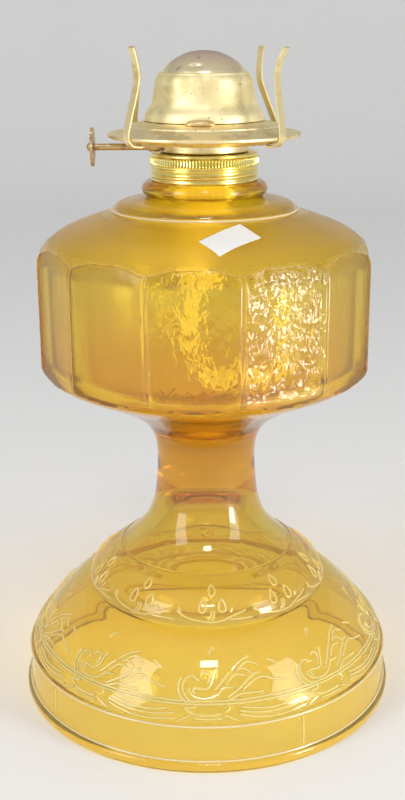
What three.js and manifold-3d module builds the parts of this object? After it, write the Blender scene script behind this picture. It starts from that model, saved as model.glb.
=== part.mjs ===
// Glass stand lamp with a flat-wick burner and no chimney, in millimetres, +Z up.
// The origin is where the lamp's axis meets the table. The front faces -Y, and the thumbwheel points to -X.
// The amber glass body carries a screw collar, and the burner screws into the collar.

import * as THREE from 'three';
import { mergeVertices } from 'three/addons/utils/BufferGeometryUtils.js';
import Module from 'manifold-3d';

const wasm = await Module();
wasm.setup();

// Clearances and facets
const seatGap = 0.3; // between pieces that seat on, screw into or run in each other
const overrun = 3; // how far a cut runs past the face that it opens
const glassSides = 48;
const bowlSides = 24;
const brassSides = 32;
const shaftSides = 12;
const holeSides = 6;
const wickSteps = 22;

// Foot, domes and stem of the glass body
const footRimRadius = 81;
const footRimHeight = 4.6;
const footRimRound = 1.2; // rounded edge outside the flat ring
const footRingWidth = 3.4; // flat ring that the lamp stands on
const footRimOverhang = 1.3; // the rim's bead stands out from the band by this much
const footBandHeight = 19.6;
const footBandDraft = 1.4; // the band leans in by this much at its top
const footBandStep = 0.5; // small ledge between the band and the large dome
const largeDomeTopRadius = 51.5;
const largeDomeHeight = 29.6;
const smallDomeTopRadius = 37.8;
const smallDomeHeight = 15.6;
const stemRadius = 20.8;
const stemFlareHeight = 41.2;
const baseWall = 4.6;
const hollowBelowWaist = 16; // glass between the stem's waist and the top of the foot's hollow

// Font, shoulder and neck of the glass body
const fontUnderHeight = 41;
const fontRadius = 68.4;
const panelCutDepth = 2.2; // how deep each flat is cut into the round font
const panelCount = 12;
const panelHeight = 44;
const arrisRounding = 11;
const arrisTurn = THREE.MathUtils.degToRad(11.4); // one arris stands this far right of the front
const shoulderHeight = 18.8;
const shoulderStepWidth = 14.3; // from the neck's waist out to the step
const shoulderStepHeight = 5.6;
const neckWaistLedge = 2.4; // from the finish out to the neck's waist
const neckBeadBulge = 2.4;
const neckBeadHeight = 6.1;
const finishWall = 2.7; // plain cylinder that carries the glass thread
const finishHeight = 10.2;
const mouthRoom = 1.1; // between the mouth and the collar's sleeve
const fontWall = 4.4;
const floorAboveWaist = 11.5; // glass between the stem's waist and the floor of the font

// Screw collar
const collarSheet = 0.6;
const collarBandBulge = 0.6;
const collarBandHeight = 2.9;
const collarBandDrop = 1.5; // from the top face to the knurled band
const collarSleeveLength = 7.2;

// Burner cup
const cupThreadRoom = 2.5; // from the wick tube out to the thread, which makes the thread 31.8 mm across
const cupThreadLength = 7.9;
const cupShoulderWidth = 1.7; // from the thread out to the wall that stands on the collar
const cupHousingRoom = 0.7; // between the raiser's housing and the wall
const cupWallHeight = 6.9;
const cupSheet = 0.6;
const ventRadius = 2.2;

// Gallery: the deck above and the underside below
const deckRimRadius = 38;
const deckRimLap = 0.5; // the deck's edge stands this much above the underside's
const deckHeight = 5.3;
const deckSheet = 0.5;
const chimneySeatInset = 1.1; // from the rim in to the flat ring that a 75 mm chimney stands on
const chimneySeatWidth = 1.9;
const chimneySeatRise = 0.75;
const deckCreaseShare = 0.505; // of the way from the cone's seat out to the chimney's
const deckCreaseRise = 3.8;
const coneSeatSpread = 6.7; // from the cup's wall out to the edge of the cone's seat
const coneSeatWidth = 2.4;
const undersideRoom = 0.45; // between the shaft and the lowest ring of the underside
const undersideLowShare = 0.663; // of the way from the cup out to the rim
const undersideDepth = 2.1; // from its rim down to its lowest ring
const undersideLift = 1.6; // from its lowest ring up to the cup
const airHoleRadius = 1.8;
const airHoleCount = 12;
const airHoleShare = 0.53; // of the way from the cup out to the lowest ring

// Air screen
const screenLap = 0.9; // under the edge of the deck's hole
const screenSheet = 0.6;
const screenHoleRadius = 1.2;
const screenOuterInset = 2.6; // from the screen's edge in to the outer circle of holes
const screenOuterHoles = 16;
const screenInnerInset = 6.8;
const screenInnerHoles = 12;

// Cone and dome cap
const coneFootInset = 0.6; // from the edge of its seat
const coneHeight = 18.3;
const coneLean = 5.8; // from the foot's radius in to the shoulder's
const coneSheet = 0.6;
const coneLip = 1.8; // how far the cone's top turns in under the edge of the dome cap
const domeInset = 1.4; // from the cone's shoulder
const domeHeight = 8.4;
const domeSheet = 0.6;
const slotRoom = 3; // longer than the wick is wide
const slotWidth = 8;

// Catches at the foot of the cone
const catchWidth = 11.5;
const catchHeight = 1.7;
const catchTurn = THREE.MathUtils.degToRad(-3.5); // the front catch stands a little left of the front
const catchFoot = 1.9;
const catchSheet = 0.7;

// Chimney prongs
const prongWidth = 2.8;
const prongSheet = 0.7;
const prongHeight = 33.2; // from the rim's tip to the prong's end
const prongWaistShare = 0.7; // of that height, where the curl starts
const prongAzimuth = THREE.MathUtils.degToRad(48.5); // from the front or the back
const prongHook = 5.6; // from the rim in to its soldered foot
const prongShares = [
  { side: 'front_left', turn: -prongAzimuth, waistShare: 0.884, tipShare: 0.947 },
  { side: 'front_right', turn: prongAzimuth, waistShare: 0.958, tipShare: 1.068 },
  { side: 'back_right', turn: Math.PI - prongAzimuth, waistShare: 0.789, tipShare: 0.824 },
  { side: 'back_left', turn: Math.PI + prongAzimuth, waistShare: 0.966, tipShare: 1.047 },
]; // of the rim's radius, because each one is bent a little differently

// Wick and its tube
const wickWidth = 25;
const wickThickness = 2.6;
const wickRoom = 0.4; // between the wick and the tube, all round
const tubeWall = 0.5;
const tubeBelowDome = 1;
const tubeBelowCup = 3;
const wickAboveTube = 1.2;
const wickStraightBelow = 13.5; // leaves the wick room to be raised
const wickReachShare = 0.6; // of the font's inner radius, how far its end lies to the right
const wickFloorRoom = 18.5; // from the font's floor up to the middle of its lowest bend
const wickTwist = THREE.MathUtils.degToRad(64); // below the tube, as it hangs

// Wick raiser
const shaftRadius = 1.15;
const shaftRise = 2.2; // above the cup's shoulder
const shaftPoke = 0.9; // past the housing at its inner end
const shaftBeyondRim = 6.5; // from the gallery's rim out to the thumbwheel's outer face
const rivetRadius = 1.8;
const rivetLength = 1.5;
const wheelRadius = 4.5;
const wheelTooth = 0.9;
const wheelTeeth = 12;
const wheelThickness = 1;
const wheelSpacing = 4.8;
const wheelCount = 4;
const thumbwheelRadius = 7.5;
const thumbwheelThickness = 1;
const thumbwheelRim = 1.3;
const thumbwheelDish = 0.3;
const thumbwheelFlutes = 30;
const bushWall = 0.45;
const bushLength = 4.2;
const housingSheet = 0.5;
const housingSideRoom = 3.6; // past the outer wheels
const housingTopRoom = 0.5; // above the wheels
const housingRise = 0.9; // above the cup's shoulder

// Radii that follow from the sizes above, from the wick outwards
const tubeDepth = wickThickness + 2 * (wickRoom + tubeWall);
const tubeWidth = wickWidth + 2 * (wickRoom + tubeWall);
const shaftOffset = wickThickness / 2 + seatGap + wheelRadius;
const shaftBore = shaftRadius + seatGap;
const wheelReach = ((wheelCount - 1) * wheelSpacing + wheelThickness) / 2;
const housingHalfWidth = wheelReach + housingSideRoom;
const housingBack = shaftOffset + wheelRadius + housingSheet + 2 * seatGap;
const shaftInnerEnd = housingHalfWidth + shaftPoke;
const cupThreadRadius = tubeWidth / 2 + cupThreadRoom;
const cupAroundHousing = Math.hypot(housingHalfWidth, housingBack) + cupHousingRoom + cupSheet;
const cupWallRadius = Math.max(cupThreadRadius + cupShoulderWidth, cupAroundHousing);
const mouthRadius = cupThreadRadius + seatGap + collarSheet + mouthRoom;
const finishRadius = mouthRadius + finishWall;
const neckWaistRadius = finishRadius + neckWaistLedge;
const neckBeadRadius = neckWaistRadius + neckBeadBulge;
const shoulderStepRadius = neckWaistRadius + shoulderStepWidth;
const collarBandRadius = finishRadius + seatGap + collarSheet + collarBandBulge;
const coneSeatRadius = cupWallRadius + coneSeatSpread;
const deckHoleRadius = coneSeatRadius - coneSeatWidth;
const screenRadius = deckHoleRadius + screenLap;
const coneFootRadius = coneSeatRadius - coneFootInset;
const coneTopRadius = coneFootRadius - coneLean;
const domeRadius = coneTopRadius - domeInset;
const slotLength = wickWidth + slotRoom;
const chimneySeatRadius = deckRimRadius - chimneySeatInset;
const undersideRimRadius = deckRimRadius - chimneySeatInset;
const prongFootRadius = deckRimRadius - prongHook;
const shaftOuterEnd = deckRimRadius + shaftBeyondRim;
const footBandRadius = footRimRadius - footRimOverhang;
const footHollowRadius = footRimRadius - footRimRound - footRingWidth;
const fontFlatRadius = fontRadius - panelCutDepth;
const fontInnerRadius = fontFlatRadius - fontWall;

// Levels that follow from the sizes above; those of the burner count from the cup's shoulder
const largeDomeTop = footBandHeight + largeDomeHeight;
const smallDomeTop = largeDomeTop + smallDomeHeight;
const stemWaist = smallDomeTop + stemFlareHeight;
const panelBottom = stemWaist + fontUnderHeight;
const panelTop = panelBottom + panelHeight;
const shoulderTop = panelTop + shoulderHeight;
const neckWaist = shoulderTop + shoulderStepHeight;
const beadTop = neckWaist + neckBeadHeight;
const finishTop = beadTop + finishHeight;
const collarTop = finishTop + seatGap + collarSheet;
const cupShoulder = collarTop + seatGap;
const undersideLow = shaftRise + shaftRadius + undersideRoom;
const undersideRim = undersideLow + undersideDepth;
const deckRimRise = undersideRim + deckRimLap;
const coneFoot = deckRimRise + deckHeight + seatGap;
const domeFoot = coneFoot + coneHeight + seatGap;
const tubeTop = domeFoot - tubeBelowDome;
const tubeBottom = -cupThreadLength - tubeBelowCup;
const wickStraightEnd = tubeBottom - wickStraightBelow;
const wickLowest = stemWaist + floorAboveWaist + wickFloorRoom - cupShoulder;
const housingTop = shaftRise + wheelRadius + housingTopRoom + housingSheet;

const glass = new THREE.MeshStandardMaterial({ color: 0xd9a11c, roughness: 0.08, metalness: 0 });
glass.transparent = true;
glass.opacity = 0.8;
const brightBrass = new THREE.MeshStandardMaterial({ color: 0xd8b02c, roughness: 0.25, metalness: 1 });
const agedBrass = new THREE.MeshStandardMaterial({ color: 0xc2ab6a, roughness: 0.42, metalness: 1 });
const rosyBrass = new THREE.MeshStandardMaterial({ color: 0xb98a6c, roughness: 0.4, metalness: 1 });
const dullBrass = new THREE.MeshStandardMaterial({ color: 0x9a7c4e, roughness: 0.55, metalness: 1 });
const cotton = new THREE.MeshStandardMaterial({ color: 0xe9d9a8, roughness: 0.95, metalness: 0 });

// Closed solid made from a geometry, with the vertices that meet welded into one
function solidOf(geometry) {
  const bare = geometry.clone();
  bare.deleteAttribute('normal');
  bare.deleteAttribute('uv');
  const welded = mergeVertices(bare);
  const corners = welded.getIndex().array;
  const faces = [];
  for (let start = 0; start < corners.length; start += 3) {
    const [a, b, c] = corners.slice(start, start + 3);
    if (a !== b && b !== c && c !== a) {
      faces.push(a, b, c);
    }
  }
  const vertProperties = new Float32Array(welded.getAttribute('position').array);
  return new wasm.Manifold(new wasm.Mesh({ numProp: 3, vertProperties, triVerts: new Uint32Array(faces) }));
}

function geometryOf(solid) {
  const mesh = solid.getMesh();
  const geometry = new THREE.BufferGeometry();
  geometry.setAttribute('position', new THREE.BufferAttribute(mesh.vertProperties, 3));
  geometry.setIndex(new THREE.BufferAttribute(mesh.triVerts, 1));
  geometry.computeVertexNormals();
  return geometry;
}

function cut(geometry, ...tools) {
  return geometryOf(tools.reduce((body, tool) => body.subtract(solidOf(tool)), solidOf(geometry)));
}

// Points from one corner to another, each corner a radius and a height, bent through points that are
// given as shares of the way across and up, and smoothed where a number of steps is given
function run(from, to, shares = [], steps = 0) {
  const corners = [from];
  for (const [acrossShare, upShare] of shares) {
    corners.push([from[0] + acrossShare * (to[0] - from[0]), from[1] + upShare * (to[1] - from[1])]);
  }
  corners.push(to);
  const points = corners.map(([radius, height]) => new THREE.Vector2(radius, height));
  return steps ? new THREE.SplineCurve(points).getPoints(steps) : points;
}

// One profile from runs that follow each other, without the corners that they share
function profile(...runs) {
  return runs.flat().filter((point, index, all) => index === 0 || !point.equals(all[index - 1]));
}

// The same line moved to its left by a distance, square to its own direction
function offset(points, distance) {
  return points.map((point, index) => {
    const before = points[Math.max(index - 1, 0)];
    const after = points[Math.min(index + 1, points.length - 1)];
    const first = point.clone().sub(before);
    const second = after.clone().sub(point);
    const along = first.normalize().add(second.normalize()).normalize();
    const square = index > 0 ? first : second;
    const reach = distance / (Math.abs(along.dot(square)) || 1);
    return new THREE.Vector2(point.x - along.y * reach, point.y + along.x * reach);
  });
}

// Turned solid round +Z; the profile runs upwards on the outside
function turned(points, sides) {
  return new THREE.LatheGeometry(points, sides).rotateX(Math.PI / 2);
}

// Turned sheet metal; the sheet lies to the left of its outer line
function turnedSheet(points, thickness, sides) {
  const inner = offset(points, thickness).reverse();
  return turned([...points, ...inner, points[0].clone()], sides);
}

function extruded(shape, depth, curveSegments = 3) {
  return new THREE.ExtrudeGeometry(shape, { depth, bevelEnabled: false, curveSegments });
}

// Flat strip bent along a line in the plane of radius and height, centred across its width
function strip(points, thickness, width) {
  const left = offset(points, thickness / 2);
  const right = offset(points, -thickness / 2).reverse();
  const shape = new THREE.Shape([...left, ...right]);
  return extruded(shape, width).rotateX(Math.PI / 2).translate(0, width / 2, 0);
}

// Slot outline with round ends, its length along X
function slotShape(length, width) {
  const shape = new THREE.Shape();
  const reach = (length - width) / 2;
  shape.absarc(reach, 0, width / 2, -Math.PI / 2, Math.PI / 2, false);
  shape.absarc(-reach, 0, width / 2, Math.PI / 2, (3 * Math.PI) / 2, false);
  return shape;
}

function cylinder(radius, bottom, top, sides) {
  const height = top - bottom;
  const geometry = new THREE.CylinderGeometry(radius, radius, height, sides).rotateX(Math.PI / 2);
  return geometry.translate(0, 0, bottom + height / 2);
}

function box(width, depth, bottom, top) {
  return new THREE.BoxGeometry(width, depth, top - bottom).translate(0, 0, (top + bottom) / 2);
}

// Solid through rings of points that all run the same way round
function loft(rings) {
  const around = rings[0].length;
  const faces = [];
  for (let ring = 0; ring < rings.length - 1; ring += 1) {
    for (let side = 0; side < around; side += 1) {
      const here = ring * around + side;
      const next = ring * around + ((side + 1) % around);
      faces.push(here, next + around, next, here, here + around, next + around);
    }
  }
  const last = (rings.length - 1) * around;
  for (let side = 1; side < around - 1; side += 1) {
    faces.push(0, side, side + 1, last, last + side + 1, last + side);
  }
  const geometry = new THREE.BufferGeometry().setFromPoints(rings.flat());
  geometry.setIndex(faces);
  geometry.computeVertexNormals();
  return geometry;
}

function mesh(name, geometry, material) {
  const part = new THREE.Mesh(geometry, material);
  part.name = name;
  return part;
}

// Outside of the glass from the table to the lip: beaded foot, two domes, waisted stem, font and neck
function glassOutside() {
  const bandTopRadius = footBandRadius - footBandDraft;
  const beadShares = [[0.72, 0.22]];
  const rimTopShares = [[0.3, 0.75]];
  const largeDomeShares = [[0.05, 0.16], [0.23, 0.37], [0.436, 0.625], [0.765, 0.9]];
  const smallDomeShares = [[0.04, 0.19], [0.14, 0.38], [0.31, 0.55], [0.62, 0.78]];
  const stemShares = [[0.33, 0.114], [0.653, 0.265], [0.853, 0.447], [0.93, 0.595], [0.98, 0.806]];
  const underShares = [[0.02, 0.17], [0.08, 0.32], [0.21, 0.46], [0.47, 0.64], [0.86, 0.85], [0.98, 0.95]];
  const shoulderShares = [[0.029, 0.105], [0.104, 0.295], [0.345, 0.595], [0.769, 0.868]];
  const stepShares = [[0.09, 0.36], [0.36, 0.66], [0.75, 0.88]];
  const beadOutShares = [[0.75, 0.4]];
  const beadInShares = [[0.25, 0.6]];
  const footRing = [footRimRadius - footRimRound, 0];
  const rimSide = [footRimRadius, footRimHeight / 2];
  const bandFoot = [footBandRadius, footRimHeight];
  const bandTop = [bandTopRadius, footBandHeight];
  const domeFoot = [bandTopRadius - footBandStep, footBandHeight + footBandStep];
  const largeTop = [largeDomeTopRadius, largeDomeTop];
  const smallTop = [smallDomeTopRadius, smallDomeTop];
  const waist = [stemRadius, stemWaist];
  const fontFoot = [fontRadius, panelBottom];
  const fontTop = [fontRadius, panelTop];
  const step = [shoulderStepRadius, shoulderTop];
  const neck = [neckWaistRadius, neckWaist];
  const beadSide = [neckBeadRadius, neckWaist + neckBeadHeight / 2];
  const beadEnd = [neckWaistRadius, beadTop];
  return profile(
    run([0, 0], footRing),
    run(footRing, rimSide, beadShares),
    run(rimSide, bandFoot, rimTopShares),
    run(bandFoot, bandTop),
    run(bandTop, domeFoot),
    run(domeFoot, largeTop, largeDomeShares, 6),
    run(largeTop, smallTop, smallDomeShares, 5),
    run(smallTop, waist, stemShares, 6),
    run(waist, fontFoot, underShares, 8),
    run(fontFoot, fontTop),
    run(fontTop, step, shoulderShares, 5),
    run(step, neck, stepShares, 3),
    run(neck, beadSide, beadOutShares),
    run(beadSide, beadEnd, beadInShares),
    run(beadEnd, [finishRadius, beadTop]),
    run([finishRadius, beadTop], [finishRadius, finishTop]),
    run([finishRadius, finishTop], [0, finishTop]),
  );
}

// Bell under the foot; its walls follow the outside, and it ends in a rounded top inside the stem
function footHollow() {
  const mouth = [footHollowRadius, 0];
  const below = [mouth[0], -overrun];
  const bandTop = [footBandRadius - footBandDraft - baseWall, footBandHeight];
  const largeTop = [largeDomeTopRadius - baseWall / 2, largeDomeTop - baseWall];
  const smallTop = [smallDomeTopRadius - baseWall / 2, smallDomeTop - baseWall];
  const domeShares = [[0.05, 0.17], [0.22, 0.37], [0.43, 0.62], [0.77, 0.9]];
  const topShares = [[0.17, 0.14], [0.36, 0.35], [0.51, 0.57], [0.61, 0.78], [0.7, 0.91], [0.84, 0.98]];
  return profile(
    run([0, -overrun], below),
    run(below, mouth),
    run(mouth, bandTop),
    run(bandTop, largeTop, domeShares, 5),
    run(largeTop, smallTop, domeShares, 3),
    run(smallTop, [0, stemWaist - hollowBelowWaist], topShares),
  );
}

// Oil space of the font, with the mouth that it opens through
function fontCavity() {
  const floor = [0, stemWaist + floorAboveWaist];
  const wallFoot = [fontInnerRadius, panelBottom + fontWall];
  const wallTop = [fontInnerRadius, panelTop - fontWall / 2];
  const step = [shoulderStepRadius - fontWall, shoulderTop - fontWall];
  const throat = [mouthRadius, neckWaist];
  const top = [mouthRadius, finishTop + overrun];
  const floorShares = [[0.16, 0.04], [0.29, 0.13], [0.42, 0.27], [0.64, 0.48], [0.84, 0.65], [0.96, 0.8]];
  const shoulderShares = [[0.03, 0.105], [0.15, 0.33], [0.4, 0.62], [0.78, 0.87]];
  const throatShares = [[0.25, 0.28], [0.7, 0.55], [0.93, 0.76]];
  return profile(
    run(floor, wallFoot, floorShares),
    run(wallFoot, wallTop),
    run(wallTop, step, shoulderShares, 4),
    run(step, throat, throatShares),
    run(throat, top),
    run(top, [0, top[1]]),
  );
}

// Block with a hole that has the font's flats and rounded arrises; one arris points to the front
function panelCutter() {
  const half = fontRadius + overrun;
  const square = [[-half, -half], [half, -half], [half, half], [-half, half]];
  const block = new THREE.Shape(square.map(([x, y]) => new THREE.Vector2(x, y)));
  const outline = new THREE.Path();
  const halfPanel = Math.PI / panelCount;
  const centreDistance = (fontFlatRadius - arrisRounding) / Math.cos(halfPanel);
  for (let panel = 0; panel < panelCount; panel += 1) {
    const angle = -Math.PI / 2 + 2 * panel * halfPanel;
    const x = centreDistance * Math.cos(angle);
    const y = centreDistance * Math.sin(angle);
    outline.absarc(x, y, arrisRounding, angle - halfPanel, angle + halfPanel, false);
  }
  block.holes.push(outline);
  const bottom = panelBottom - fontUnderHeight / 2;
  return extruded(block, shoulderTop - bottom, 2).translate(0, 0, bottom);
}

function glassBody() {
  const outside = turned(glassOutside(), glassSides);
  const hollow = turned(footHollow(), bowlSides);
  const cavity = turned(fontCavity(), bowlSides);
  const body = mesh('glass_lamp_body', cut(outside, panelCutter(), hollow, cavity), glass);
  body.rotation.z = arrisTurn;
  return body;
}

// Rolled ring over the glass thread, with a sleeve inside the mouth that takes the burner's thread
function screwCollar() {
  const skirtInner = finishRadius + seatGap;
  const skirtOuter = skirtInner + collarSheet;
  const sleeveInner = cupThreadRadius + seatGap;
  const sleeveOuter = sleeveInner + collarSheet;
  const bottom = beadTop + seatGap;
  const bandTop = collarTop - collarBandDrop;
  const bandBottom = bandTop - collarBandHeight;
  const chamfer = (collarBandRadius - skirtOuter) / 2;
  const corners = [
    [skirtInner, bottom],
    [skirtOuter, bottom],
    [skirtOuter, bandBottom - chamfer],
    [collarBandRadius, bandBottom],
    [collarBandRadius, bandTop],
    [skirtOuter, bandTop + chamfer],
    [skirtOuter - chamfer, collarTop],
    [sleeveInner, collarTop],
    [sleeveInner, collarTop - collarSleeveLength],
    [sleeveOuter, collarTop - collarSleeveLength],
    [sleeveOuter, collarTop - collarSheet],
    [skirtInner, collarTop - collarSheet],
    [skirtInner, bottom],
  ];
  const outline = corners.map(([r, z]) => new THREE.Vector2(r, z));
  return mesh('screw_collar', turned(outline, brassSides), brightBrass);
}

// Drawn cup: the threaded part goes down into the collar, and the wider wall stands on it
function burnerCup() {
  const floor = -cupThreadLength;
  const threadInner = cupThreadRadius - cupSheet;
  const corners = [
    [0, floor],
    [threadInner, floor],
    [cupThreadRadius, floor + cupSheet],
    [cupThreadRadius, 0],
    [cupWallRadius, 0],
    [cupWallRadius, cupWallHeight],
    [cupWallRadius - cupSheet, cupWallHeight],
    [cupWallRadius - cupSheet, cupSheet],
    [threadInner, cupSheet],
    [threadInner, floor + cupSheet],
    [0, floor + cupSheet],
  ];
  const shell = turned(corners.map(([r, z]) => new THREE.Vector2(r, z)), brassSides);
  const slot = slotShape(tubeWidth + 2 * seatGap, tubeDepth + 2 * seatGap);
  const tubeHole = extruded(slot, cupSheet + 2 * overrun).translate(0, 0, floor - overrun);
  const vent = cylinder(ventRadius, floor - overrun, floor + cupSheet + overrun, holeSides);
  vent.translate(0, (threadInner + tubeDepth / 2) / 2, 0);
  const shaftHole = cylinder(shaftBore, 0, cupWallRadius + overrun, shaftSides).rotateY(-Math.PI / 2);
  shaftHole.translate(0, -shaftOffset, shaftRise);
  return mesh('burner_cup', cut(shell, tubeHole, vent, shaftHole), agedBrass);
}

// Upper shell of the gallery: sloped deck with a flat chimney seat near the rim and a flat cone seat inside
function galleryDeck() {
  const chimneySeatEnd = chimneySeatRadius - chimneySeatWidth;
  const creaseRadius = coneSeatRadius + deckCreaseShare * (chimneySeatEnd - coneSeatRadius);
  const corners = [
    [deckRimRadius, deckRimRise],
    [chimneySeatRadius, deckRimRise + chimneySeatRise],
    [chimneySeatEnd, deckRimRise + chimneySeatRise],
    [creaseRadius, deckRimRise + deckCreaseRise],
    [coneSeatRadius, deckRimRise + deckHeight],
    [deckHoleRadius, deckRimRise + deckHeight],
  ];
  const line = corners.map(([r, z]) => new THREE.Vector2(r, z));
  return mesh('gallery_deck', turnedSheet(line, deckSheet, brassSides), agedBrass);
}

// Lower shell of the gallery: a shallow dish with air holes, tucked under the deck's rim
function galleryUnderside() {
  const rim = [undersideRimRadius, undersideRim];
  const inner = [cupWallRadius + seatGap, undersideLow + undersideLift];
  const low = [inner[0] + undersideLowShare * (undersideRimRadius - inner[0]), undersideLow];
  const airHoleCircle = inner[0] + airHoleShare * (low[0] - inner[0]);
  const innerShares = [[0.65, 0.88]];
  const rimShares = [[0.4, 0.22]];
  const line = profile(run(inner, low, innerShares), run(low, rim, rimShares));
  const holes = [];
  for (let hole = 0; hole < airHoleCount; hole += 1) {
    const drill = cylinder(airHoleRadius, low[1] - overrun, inner[1] + overrun, holeSides);
    holes.push(drill.translate(0, -airHoleCircle, 0).rotateZ(((hole + 0.5) * 2 * Math.PI) / airHoleCount));
  }
  return mesh('gallery_underside', cut(turnedSheet(line, deckSheet, brassSides), ...holes), agedBrass);
}

// Perforated plate under the cone seat, with a slot for the wick tube
function airScreen() {
  const top = deckRimRise + deckHeight - deckSheet - seatGap;
  const bottom = top - screenSheet;
  const slot = slotShape(tubeWidth + 2 * seatGap, tubeDepth + 2 * seatGap);
  const cuts = [extruded(slot, screenSheet + 2 * overrun).translate(0, 0, bottom - overrun)];
  const rings = [[screenOuterInset, screenOuterHoles], [screenInnerInset, screenInnerHoles]];
  for (const [inset, count] of rings) {
    const circle = screenRadius - inset;
    for (let hole = 0; hole < count; hole += 1) {
      const angle = ((hole + 0.5) * 2 * Math.PI) / count;
      const besideTube = Math.abs(circle * Math.sin(angle)) < tubeDepth / 2 + 2 * screenHoleRadius;
      if (inset < screenInnerInset || !besideTube) {
        const drill = cylinder(screenHoleRadius, bottom - overrun, top + overrun, holeSides);
        cuts.push(drill.translate(circle * Math.cos(angle), circle * Math.sin(angle), 0));
      }
    }
  }
  return mesh('air_screen', cut(cylinder(screenRadius, bottom, top, brassSides), ...cuts), agedBrass);
}

// Bell-shaped cone: a rounded foot, a hollow flank and an upright shoulder turned in to carry the dome cap
function cone() {
  const foot = [coneFootRadius, coneFoot];
  const shoulder = [coneTopRadius, coneFoot + coneHeight - coneSheet / 2];
  const turnIn = [coneTopRadius - coneSheet, coneFoot + coneHeight];
  const lip = [domeRadius - coneLip, turnIn[1]];
  const flankShares = [[0, 0.055], [0.08, 0.17], [0.42, 0.33], [0.56, 0.48], [0.72, 0.79], [0.82, 0.91]];
  const line = profile(run(foot, shoulder, flankShares), run(shoulder, turnIn), run(turnIn, lip));
  return mesh('cone', turnedSheet(line, coneSheet, brassSides), agedBrass);
}

// Domed cap with the flame slot
function domeCap() {
  const foot = [domeRadius, domeFoot];
  const crown = [0, domeFoot + domeHeight];
  const domeShares = [[0.04, 0.13], [0.14, 0.36], [0.29, 0.61], [0.5, 0.83], [0.75, 0.96]];
  const outer = run(foot, crown, domeShares);
  const inner = run([domeRadius - domeSheet, domeFoot], [0, domeFoot + domeHeight - domeSheet], domeShares);
  const shell = turned([...outer, ...inner.reverse(), outer[0].clone()], brassSides);
  const slot = extruded(slotShape(slotLength, slotWidth), domeHeight + overrun).translate(0, 0, domeFoot);
  return mesh('dome_cap', cut(shell, slot), rosyBrass);
}

// Bent lug on the deck that grips the foot of the cone
function coneCatch(name, turn) {
  const inside = coneFootRadius + seatGap + catchSheet / 2;
  const seat = deckRimRise + deckHeight + seatGap + catchSheet / 2;
  const line = [
    new THREE.Vector2(inside + catchFoot, seat),
    new THREE.Vector2(inside, seat),
    new THREE.Vector2(inside, seat + catchHeight - catchSheet / 2),
  ];
  const lug = mesh(name, strip(line, catchSheet, catchWidth), agedBrass);
  lug.rotation.z = turn - Math.PI / 2;
  return lug;
}

// Springy strip: soldered under the gallery, hooked round its rim, leaning in and curled out at the tip
function chimneyProng({ side, turn, waistShare, tipShare }) {
  const clear = deckRimRadius + seatGap + prongSheet;
  const foot = [prongFootRadius, undersideLow - seatGap];
  const rim = [clear, deckRimRise + prongSheet];
  const waist = [waistShare * deckRimRadius, deckRimRise + prongWaistShare * prongHeight];
  const tip = [tipShare * deckRimRadius, deckRimRise + prongHeight];
  const hookShares = [[0.32, 0], [0.66, 0.12], [0.9, 0.5]];
  const leanShares = [[0.06, 0.12], [0.4, 0.45], [0.8, 0.8]];
  const curlShares = [[0.02, 0.3], [0.4, 0.68]];
  const hook = run(foot, rim, hookShares, 6);
  const line = profile(hook, run(rim, waist, leanShares, 5), run(waist, tip, curlShares, 5));
  const prong = mesh(`chimney_prong_${side}`, strip(line, prongSheet, prongWidth), agedBrass);
  prong.rotation.z = turn - Math.PI / 2;
  return prong;
}

// Flattened tube that guides the wick, with a window in its front wall for each spur wheel
function wickTube() {
  const shape = slotShape(tubeWidth, tubeDepth);
  shape.holes.push(slotShape(tubeWidth - 2 * tubeWall, tubeDepth - 2 * tubeWall));
  const height = tubeTop - tubeBottom;
  const tube = extruded(shape, height).translate(0, 0, tubeBottom);
  const windowWidth = wheelThickness + 2 * seatGap;
  const windowHeight = 2 * (wheelRadius - wheelTooth);
  const windows = [];
  for (let wheel = 0; wheel < wheelCount; wheel += 1) {
    const opening = box(windowWidth, tubeDepth, shaftRise - windowHeight / 2, shaftRise + windowHeight / 2);
    windows.push(opening.translate(wheelStation(wheel), -tubeDepth / 2, 0));
  }
  return mesh('wick_tube', cut(tube, ...windows), agedBrass);
}

function wheelStation(wheel) {
  return (wheel - (wheelCount - 1) / 2) * wheelSpacing;
}

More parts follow.
